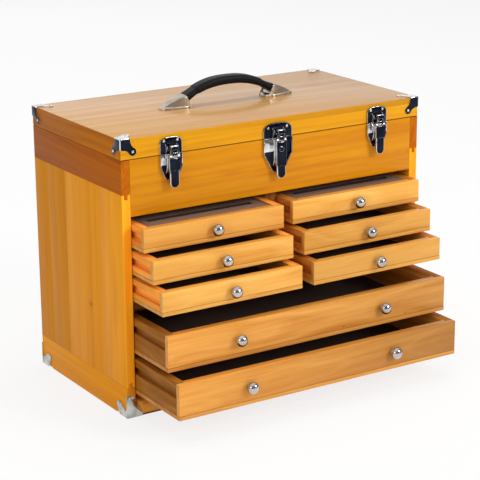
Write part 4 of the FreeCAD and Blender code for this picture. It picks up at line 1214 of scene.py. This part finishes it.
SHEET = 1.2
PLATE_FRONT = in_mm("till_front")[1][0] - SHEET
IN_PLATE = PLATE_FRONT + 0.3
_, PIN_Y, PIN_Z = pivot("latch_lever_left_pivot")
_, CLAW_Y, CLAW_Z = pivot("latch_claw_left_pivot")
SEAM_UNDER = in_mm("latch_bases")[2][1]
SEAM_OVER = in_mm("latch_catches")[2][0]
LEVER_HALF = in_mm("latch_lever_middle")[0][1]
print("lever pin at", (PIN_Y, PIN_Z), "and claw pin at", (CLAW_Y, CLAW_Z))

# %% Helpers for pressed sheet
PIN_RADIUS, BARREL_RADIUS = 1.1, 1.9


def rod(x0, x1, y, z, radius):
    """A round bar along X."""
    bm = bmesh.new()
    bmesh.ops.create_cone(bm, cap_ends=True, segments=24, radius1=radius, radius2=radius, depth=x1 - x0)
    bmesh.ops.rotate(bm, verts=bm.verts, cent=(0, 0, 0), matrix=Matrix.Rotation(math.radians(90), 3, "Y"))
    bmesh.ops.translate(bm, vec=((x0 + x1) / 2, y, z), verts=bm.verts)
    return bm


def both_sides(outline, start, stop):
    """A shape that is sawn along Y and its mirror image in X."""
    shapes = [sawn(outline, 1, start, stop), sawn(outline, 1, start, stop)]
    bmesh.ops.scale(shapes[1], vec=(-1, 1, 1), verts=shapes[1].verts)
    bmesh.ops.recalc_face_normals(shapes[1], faces=shapes[1].faces)
    return shapes


def pressed(parts, x, width=0.25):
    """Eases the edges of parts in millimetres and puts them at x, in metres."""
    for part in parts:
        eased(part, width, 2, 25)
    whole = one_mesh(parts)
    bmesh.ops.scale(whole, vec=(MM, MM, MM), verts=whole.verts)
    bmesh.ops.translate(whole, vec=(x, 0, 0), verts=whole.verts)
    return whole


def paint_dark_reflection(bm, smallest, beyond=None, tops=False):
    """Gives the second finish, a painted dark reflection, to faces that look out of the front, and to
    tops if they are asked for.
    Smallest is in square millimetres. With beyond = (x, z), only what is right of x or under z turns
    dark."""
    for face in bm.faces:
        looks_out = face.normal.y < -0.93 or (tops and face.normal.z > 0.2)
        middle = face.calc_center_median()
        there = beyond is None or middle.x > beyond[0] or middle.z < beyond[1]
        if looks_out and there and face.calc_area() > smallest * MM * MM:
            face.material_index = 1
    return bm


# %% [markdown]
# ## The latch's base plate
#
# The plate lies on the till front. Its edges are folded up into rims, and two ears stand out of it
# and carry the lever's pin. Each fold is a sawn shape of its own, because folds that meet in one
# corner are hard to bevel out of a single sheet.

# %% Base plate
RIM_HIGH, EAR_IN, EAR_THICK = 2.2, 7.95, 1.1


def base_parts(half, low, taper):
    """The base plate, its folded rims, the two ears and the lever's pin."""
    outline = [(-half, SEAM_UNDER), (half, SEAM_UNDER), (half, taper), (8, low), (-8, low), (-half, taper)]
    parts = [sawn(outline, 1, PLATE_FRONT, PLATE_FRONT + SHEET)]
    rim = [(half, SEAM_UNDER), (half, taper), (8.2, low), (6.8, low + 0.5), (half - 1.3, taper + 0.4),
           (half - 1.3, SEAM_UNDER)]
    parts += both_sides(rim, PLATE_FRONT - RIM_HIGH, IN_PLATE)
    ear = [(IN_PLATE, SEAM_UNDER), (-126.9, SEAM_UNDER), (-127.9, 330.4), (-127.9, 326.0),
           (-126.6, low + 14), (-124.0, low + 9), (IN_PLATE, low + 8)]
    for at in (EAR_IN, -EAR_IN - EAR_THICK):
        parts.append(sawn(ear, 0, at, at + EAR_THICK))
    parts.append(rod(-9.6, 9.6, PIN_Y, PIN_Z, PIN_RADIUS))
    return parts


# %% [markdown]
# ## The lever and its claw
#
# The lever is a box of sheet with a rounded tongue to push a finger under. The raised field on its
# face is an inset that is pushed out. The tongue's corners are bevelled before its rim, so that the
# rim follows the rounding. The claw's barrel turns between two barrels at the lever's top, and its
# upper end is bent into a hook that goes over the catch.

# %% Lever
FACE_FRONT, FACE_BACK = -130.9, -129.5
LEVER_WALL = 1.2
CLAW_BARREL, LEVER_BARREL = 3.6, 3.95


def tongue_part(body_low, tongue_low):
    """The lever's tongue, whose lower corners are rounded and whose front edges are softened."""
    tongue = sawn([(-6.5, tongue_low), (6.5, tongue_low), (6.5, body_low + 1.5), (-6.5, body_low + 1.5)],
                  1, -130.5, -127.3)
    corners = [e for e in tongue.edges
               if all(abs(v.co.z - tongue_low) < 0.01 for v in e.verts)
               and abs(e.verts[0].co.y - e.verts[1].co.y) > 1]
    bmesh.ops.bevel(tongue, geom=corners, offset=6.3, offset_type="OFFSET", segments=7, profile=0.5,
                    affect="EDGES", material=-1, clamp_overlap=True)
    rounds = [e for e in tongue.edges
              if e.calc_face_angle(0) > math.radians(60) and all(v.co.y < -130 for v in e.verts)]
    bmesh.ops.bevel(tongue, geom=rounds, offset=0.9, offset_type="OFFSET", segments=3, profile=0.5,
                    affect="EDGES", material=-1, clamp_overlap=True)
    return tongue


def lever_parts(body_low, tongue_low):
    """The boxed lever, its tongue and the barrels that carry the claw."""
    face_top, shoulder = CLAW_Z - 2.7, CLAW_Z - 0.4
    face = sawn([(-LEVER_HALF, body_low), (LEVER_HALF, body_low), (LEVER_HALF, face_top),
                 (-LEVER_HALF, face_top)], 1, FACE_FRONT, FACE_BACK)
    front = min(face.faces, key=lambda f: f.calc_center_median().y)
    bmesh.ops.inset_region(face, faces=[front], thickness=1.5)
    bmesh.ops.translate(face, vec=(0, -0.3, 0), verts=front.verts)
    beside_claw = [(LEVER_BARREL, face_top - 0.4), (LEVER_HALF, face_top - 0.4), (LEVER_HALF, shoulder),
                   (LEVER_BARREL, shoulder)]
    parts = [face] + both_sides(beside_claw, FACE_FRONT, FACE_BACK)
    wall = [(-129.6, body_low), (-129.6, 330.4), (-125.0, 330.4), (-123.9, 329.8), (-123.7, 327.5),
            (-124.6, body_low + 5), (-127.0, body_low)]
    for at in (LEVER_HALF - LEVER_WALL, -LEVER_HALF):
        parts.append(sawn(wall, 0, at, at + LEVER_WALL))
    fin = [(-129.0, tongue_low + 7), (-129.0, body_low + 1), (-124.4, body_low + 1),
           (-124.8, body_low - 3), (-127.8, tongue_low + 7)]
    for at in (5.3, -6.5):
        parts.append(sawn(fin, 0, at, at + LEVER_WALL))
    parts.append(tongue_part(body_low, tongue_low))
    for x0, x1 in ((LEVER_BARREL, LEVER_HALF), (-LEVER_HALF, -LEVER_BARREL)):
        parts.append(rod(x0, x1, CLAW_Y, CLAW_Z, BARREL_RADIUS))
    return parts


# %% Claw
CLAW_FRONT, CLAW_BACK = -131.3, -130.1


def claw_parts():
    """The claw: a barrel, a frame that narrows upwards, and a hooked end over the catch's lip."""
    hook = [(CLAW_FRONT, 338.8), (CLAW_FRONT, 343.4), (-130.4, 344.4), (-128.0, 344.5), (-126.3, 343.8),
            (-125.8, 342.6), (-126.2, 341.4), (-127.6, 340.9), (-128.6, 341.6), (-129.0, 342.6),
            (-130.0, 342.2), (-130.0, 338.8)]
    parts = [rod(-CLAW_BARREL, CLAW_BARREL, CLAW_Y, CLAW_Z, BARREL_RADIUS), sawn(hook, 0, -5.2, 5.2)]
    parts += both_sides([(6.9, 333.6), (4.4, 333.6), (3.0, 340.0), (5.2, 340.0)], CLAW_FRONT, CLAW_BACK)
    for half_low, half_high, low, high in ((6.0, 5.6, 333.6, 335.4), (3.4, 3.4, 331.2, 334.0)):
        plate = [(-half_low, low), (half_low, low), (half_high, high), (-half_high, high)]
        parts.append(sawn(plate, 1, CLAW_FRONT + 0.1, CLAW_BACK))
    return parts


# %% [markdown]
# ## The catch
#
# The catch is nailed to the lid. Its plate ends in an arch, which is a list of shares of its half
# width and its rise, so the narrow and the wide catch come from one list. A rim stands round it, and
# the lip in its middle is what the claw pulls on.

# %% Catch
CATCH_RIM, CATCH_RIM_HIGH = 0.8, 0.9
CATCH_RISE = 0.45
ARCH = [(0.96, 0.38), (0.8, 0.7), (0.56, 0.9), (0.3, 0.98)]
LIP_HALF, RIB_IN, RIB_THICK = 7.0, 7.4, 1.2


def arch_points(half, high, scale, lift):
    """The arch from right to left, drawn in by a scale and a lift."""
    rise = half * CATCH_RISE
    shoulder = high - rise
    right = [(half * scale, shoulder)]
    right += [(half * scale * a, shoulder + (rise - lift) * b) for a, b in ARCH]
    return right + [(0, high - lift)] + [(-x, z) for x, z in reversed(right)]


def catch_parts(half, high):
    """The arched catch plate with its rim, the lip and a rib on each side of it."""
    outer = arch_points(half, high, 1, 0)
    inner = arch_points(half, high, 1 - CATCH_RIM / half, CATCH_RIM)
    parts = [sawn([(-half, SEAM_OVER), (half, SEAM_OVER)] + outer, 1, PLATE_FRONT, PLATE_FRONT + SHEET)]
    rim = [(half, SEAM_OVER)] + outer + [(-half, SEAM_OVER), (-half + CATCH_RIM, SEAM_OVER)]
    rim += list(reversed(inner)) + [(half - CATCH_RIM, SEAM_OVER)]
    parts.append(sawn(rim, 1, PLATE_FRONT - CATCH_RIM_HIGH, IN_PLATE))
    lip = [(IN_PLATE, 336.0), (IN_PLATE, 344.0), (-122.6, 343.6), (-124.4, 342.6),
           (-125.5, 341.6), (-125.5, 339.4), (-124.6, 339.0), (-123.2, 338.0), (-122.2, 336.2)]
    parts.append(sawn(lip, 0, -LIP_HALF, LIP_HALF))
    rib = [(IN_PLATE, SEAM_OVER), (IN_PLATE, 345.5), (-122.4, 345.0), (-125.2, 341.5),
           (-125.2, 338.0), (-123.0, SEAM_OVER)]
    for at in (RIB_IN, -RIB_IN - RIB_THICK):
        parts.append(sawn(rib, 0, at, at + RIB_THICK))
    return parts


# %% [markdown]
# ## Three latches
#
# The middle latch is wider and longer than its neighbours and carries a lock, drawn as a round plug
# on its lever. The base plates are cut along two lines that add no shape. They only let the right
# half and the foot of a plate take the darker finish, a painted reflection of the dark side of the room.

# %% Three latches
OUTER = {"half": 15.5, "low": 300, "taper": 316, "body_low": 313, "catch": 353.6}
MIDDLE = {"half": 21.5, "low": 288, "taper": 312, "body_low": 297, "catch": 351.7}
PLUG_RADIUS, PLUG_THICK, PLUG_Z = 3.4, 0.6, 319
DARK_FROM = 3
DARK_BASE, DARK_CATCH, DARK_LEVER, DARK_CLAW = 12, 1, 5, 3


def lock_plug():
    """The round plug of the lock, which faces the front."""
    plug = rod(0, PLUG_THICK, 0, 0, PLUG_RADIUS)
    to_front = Matrix.Rotation(math.radians(-90), 3, "Z")
    bmesh.ops.rotate(plug, verts=plug.verts, cent=(0, 0, 0), matrix=to_front)
    bmesh.ops.translate(plug, vec=(0, -130.7, PLUG_Z), verts=plug.verts)
    return plug


bases, catches = [], []
for where in ("left", "middle", "right"):
    size = MIDDLE if where == "middle" else OUTER
    lever_node, claw_node = "latch_lever_" + where, "latch_claw_" + where
    x = sum(spans(lever_node)[0]) / 2
    base = pressed(base_parts(size["half"], size["low"], size["taper"]), x)
    split = (size["taper"] + DARK_FROM) * MM
    for at, way in (((0, 0, split), (0, 0, 1)), ((x, 0, 0), (1, 0, 0))):
        bmesh.ops.bisect_plane(base, geom=base.verts[:] + base.edges[:] + base.faces[:], plane_co=at,
                               plane_no=way)
    bases.append(paint_dark_reflection(base, DARK_BASE, beyond=(x, split)))
    catch = pressed(catch_parts(size["half"], size["catch"]), x)
    catches.append(paint_dark_reflection(catch, DARK_CATCH, tops=True))
    lever = lever_parts(size["body_low"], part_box(lever_node)[0].z / MM)
    if where == "middle":
        lever.append(lock_plug())
    finish_piece(lever_node + "_pressed", paint_dark_reflection(pressed(lever, x), DARK_LEVER), FITTING, lever_node,
                 [lever_node])
    finish_piece(claw_node + "_pressed", paint_dark_reflection(pressed(claw_parts(), x, 0.2), DARK_CLAW), FITTING,
                 claw_node, [claw_node])
finish_piece("latch_bases_pressed", one_mesh(bases), FITTING, "case", ["latch_bases"])
finish_piece("latch_catches_pressed", one_mesh(catches), FITTING, "lid", ["latch_catches"])

# %% [markdown]
# ## Knobs
#
# Each knob is turned on a lathe: a foot, a narrow neck and a ball. A sphere and a cylinder would
# meet in a hard line at the neck, so the whole knob is one profile that is spun round its own axis.

# %% Knobs
KNOB_PROFILE = [(0, 0), (5, 0), (5, 0.7), (4.5, 1.3), (4.2, 2.0), (4.6, 2.8), (5.8, 3.5), (7.0, 4.2),
                (7.7, 5.0), (8.0, 6.0), (7.9, 7.1), (7.55, 8.3), (6.95, 9.4), (6.1, 10.45), (5.0, 11.4),
                (3.7, 12.1), (2.3, 12.58), (1.1, 12.76), (0, 12.8)]
KNOB_INSET = 8 * MM
for name in DRAWERS:
    wide = name.startswith("wide")
    node = "drawer_%s_knob%s" % (name, "s" if wide else "")
    (x0, x1), (_, seat), (z0, z1) = spans(node)
    places = [x0 + KNOB_INSET, x1 - KNOB_INSET] if wide else [(x0 + x1) / 2]
    profile = [(r * MM, reach * MM) for r, reach in KNOB_PROFILE]
    knobs = [turned(profile, (x, seat, (z0 + z1) / 2)) for x in places]
    finish_piece(node + "_turned", one_mesh(knobs), [knob_metal], "drawer_" + name, [node],
                 smooth_under=60)


# %% [markdown]
# ## The leather grip
#
# A padded leather grip arches over the lid. A curve with a round bevel would give it one thickness
# all along, but the real one is flatter than it is wide, thins towards its ends and has a rolled rim
# where the padding stops. So it is lofted: rounded sections are set along the arch and bridged.

# %% Leather
PEBBLES, WEAR_SCALE = 900, 120


def leather_finish():
    """Black leather with a fine pebbled grain and a soft shine."""
    material, tree = blank_material("leather")
    place = add(tree, "ShaderNodeTexCoord").outputs["Object"]
    cells = add(tree, "ShaderNodeTexVoronoi", scale=PEBBLES)
    tree.links.new(place, cells.inputs["Vector"])
    wear = noise(tree, place, scale=WEAR_SCALE, detail=4)
    colour = ramp(tree, wear, ((0.3, shade(9, 9, 10)), (0.7, shade(19, 19, 21))))
    height = maths(tree, "MULTIPLY_ADD", wear, 0.5, cells.outputs["Distance"])
    surface(tree, base_color=colour, roughness=maths(tree, "MULTIPLY_ADD", wear, 0.2, 0.34),
            specular_ior_level=0.15, normal=bump(tree, height, 0.3 * MM, 0.5))
    return material


leather = leather_finish()
print("leather nodes:", len(leather.node_tree.nodes))


# %% Lofting
def lofted(rings):
    """Bridges rings of points into a skin and closes both ends."""
    bm = bmesh.new()
    loops = []
    for ring in rings:
        corners = [bm.verts.new(place) for place in ring]
        loops.append([bm.edges.new(pair) for pair in zip(corners, corners[1:] + corners[:1])])
    for loop, following in zip(loops, loops[1:]):
        bmesh.ops.bridge_loops(bm, edges=loop + following)
    for loop in (loops[0], loops[-1]):
        bmesh.ops.contextual_create(bm, geom=loop)
    bmesh.ops.recalc_face_normals(bm, faces=bm.faces)
    return bm


# %% Arcs and smooth ways
def arc(across, up, radius, start, turn=90, steps=6):
    """Points on a circle round (across, up), from a start and over a turn in degrees."""
    angles = [math.radians(start + turn * step / steps) for step in range(steps + 1)]
    return [(across + radius * math.cos(a), up + radius * math.sin(a)) for a in angles]


def smooth_way(stations, steps):
    """More stations on a smooth way through the given ones."""
    last = len(stations) - 1
    smooth = []
    for at in range(last):
        four = (stations[max(at - 1, 0)], stations[at], stations[at + 1], stations[min(at + 2, last)])
        for t in (step / steps for step in range(steps)):
            smooth.append([0.5 * (2 * b + (c - a) * t + (2 * a - 5 * b + 4 * c - d) * t * t
                                  + (3 * b - a - 3 * c + d) * t * t * t)
                           for a, b, c, d in zip(*four)])
    return smooth + [list(stations[-1])]


# %% Grip
GRIP = [(0, 387.8, 5.8, 10.0), (12, 387.5, 5.8, 10.0), (22, 386.5, 5.8, 10.0), (32, 384.6, 5.6, 10.0),
        (40, 382.3, 5.4, 9.9), (46, 380.1, 5.2, 9.8), (48.2, 379.2, 5.0, 9.8), (49, 378.8, 4.3, 9.3),
        (54, 376.4, 4.1, 9.4), (60, 373.2, 4.4, 9.8), (66, 369.7, 4.6, 10.0), (72, 366.0, 4.6, 10.0)]
ROUNDEST = 4.6
QUARTERS = ((1, 1, 0), (-1, 1, 90), (-1, -1, 180), (1, -1, 270))


def grip_skin():
    """The grip. Each station is a place along X, a height, half the thickness and half the width."""
    other_half = [(-x, *rest) for x, *rest in reversed(GRIP[1:])]
    smooth = smooth_way(other_half + GRIP, 4)
    rings = []
    for at, (x, z, high, wide) in enumerate(smooth):
        ahead, behind = smooth[min(at + 1, len(smooth) - 1)], smooth[max(at - 1, 0)]
        run = Vector((ahead[0] - behind[0], 0, ahead[1] - behind[1])).normalized()
        upward = Vector((-run.z, 0, run.x))
        radius = min(0.8 * high, ROUNDEST)
        section = []
        for across, up, start in QUARTERS:
            section += arc(across * (wide - radius), up * (high - radius), radius, start)
        rings.append([Vector((x, across, z)) + up * upward for across, up in section])
    return lofted(rings)


def to_metres(bm):
    """Scales a bmesh that was drawn in millimetres."""
    bmesh.ops.scale(bm, vec=(MM, MM, MM), verts=bm.verts)
    return bm


finish_piece("handle_grip_padded", to_metres(grip_skin()), [leather], "lid", ["handle_grip"],
             smooth_under=70)


# %% [markdown]
# ## The handle's metal caps
#
# Each end of the grip goes into a cast cap: a flat foot on the lid and a hollow sleeve over it that
# narrows to a tip. The sleeve is lofted whole, and a plane then cuts its mouth at a slant. Insetting
# the cut face and pushing it in leaves a real rim for the grip to enter, with no Boolean.

# %% Sleeve
LID_TOP = in_mm("lid_top")[2][1]
SLEEVE = [(101.0, 2.8, 2.0, 360.4, 0.9), (98.5, 5.5, 4.5, 362.2, 1.8), (94, 7.4, 6.2, 364.9, 2.4),
          (88, 8.5, 7.2, 368.0, 3.0), (80, 9.8, 8.7, 371.5, 3.4), (72, 11.0, 10.1, 374.4, 3.6),
          (66, 11.4, 10.9, 376.0, 3.6), (56, 11.6, 11.2, 378.0, 3.6)]
MOUTH_TOP, MOUTH_FOOT = Vector((67.8, 0, 375.5)), Vector((59.5, 0, 360.5))
MOUTH_RIM, MOUTH_DEEP = 1.0, 2.5


def sleeve_part():
    """The sleeve. Each ring is a place along X, its half widths below and above, top and rounding."""
    rings = []
    for x, low_wide, wide, top, radius in SLEEVE:
        right = [(low_wide, LID_TOP + 0.3)] + arc(wide - radius, top - radius, radius, 0)
        left = arc(radius - wide, top - radius, radius, 90) + [(-low_wide, LID_TOP + 0.3)]
        rings.append([(x, across, up) for across, up in right + left])
    sleeve = lofted(rings)
    down = (MOUTH_FOOT - MOUTH_TOP).normalized()
    outward = Vector((down.z, 0, -down.x))
    cut = bmesh.ops.bisect_plane(sleeve, geom=sleeve.verts[:] + sleeve.edges[:] + sleeve.faces[:],
                                 plane_co=MOUTH_TOP, plane_no=outward, clear_outer=True)
    rim = [e for e in cut["geom_cut"] if isinstance(e, bmesh.types.BMEdge)]
    mouth = bmesh.ops.contextual_create(sleeve, geom=rim)["faces"]
    bmesh.ops.recalc_face_normals(sleeve, faces=sleeve.faces)
    bmesh.ops.inset_region(sleeve, faces=mouth, thickness=MOUTH_RIM)
    inmost = list({v for f in mouth for v in f.verts})
    bmesh.ops.translate(sleeve, vec=-MOUTH_DEEP * outward, verts=inmost)
    return eased(sleeve, 0.35, 2, 50)


# %% Foot
FOOT_HIGH = 4.2
FOOT_EASE = 2.4
FOOT_WIDE_AT, FOOT_WIDE = 67.5, 12.5
FOOT_TIP_AT, FOOT_TIP = 93.5, 8.5


def foot_part():
    """The foot: two rounds of different size that share their straight sides."""
    tilt = math.degrees(math.asin((FOOT_WIDE - FOOT_TIP) / (FOOT_TIP_AT - FOOT_WIDE_AT)))
    outline = arc(FOOT_WIDE_AT, 0, FOOT_WIDE, 90 - tilt, 180 + 2 * tilt, 20)
    outline += arc(FOOT_TIP_AT, 0, FOOT_TIP, tilt - 90, 180 - 2 * tilt, 14)
    foot = sawn(outline, 2, LID_TOP, LID_TOP + FOOT_HIGH)
    return eased(foot, FOOT_EASE, 5, 40, lambda edge: all(v.co.z > LID_TOP + 1 for v in edge.verts))


# %% Two caps
def mirrored(bm):
    """A copy mirrored in X."""
    other = bm.copy()
    bmesh.ops.scale(other, vec=(-1, 1, 1), verts=other.verts)
    bmesh.ops.recalc_face_normals(other, faces=other.faces)
    return other


caps = [sleeve_part(), foot_part()]
caps += [mirrored(part) for part in caps]
finish_piece("handle_caps_cast", to_metres(one_mesh(caps)), [nickel], "lid", ["handle_caps"],
             smooth_under=45)
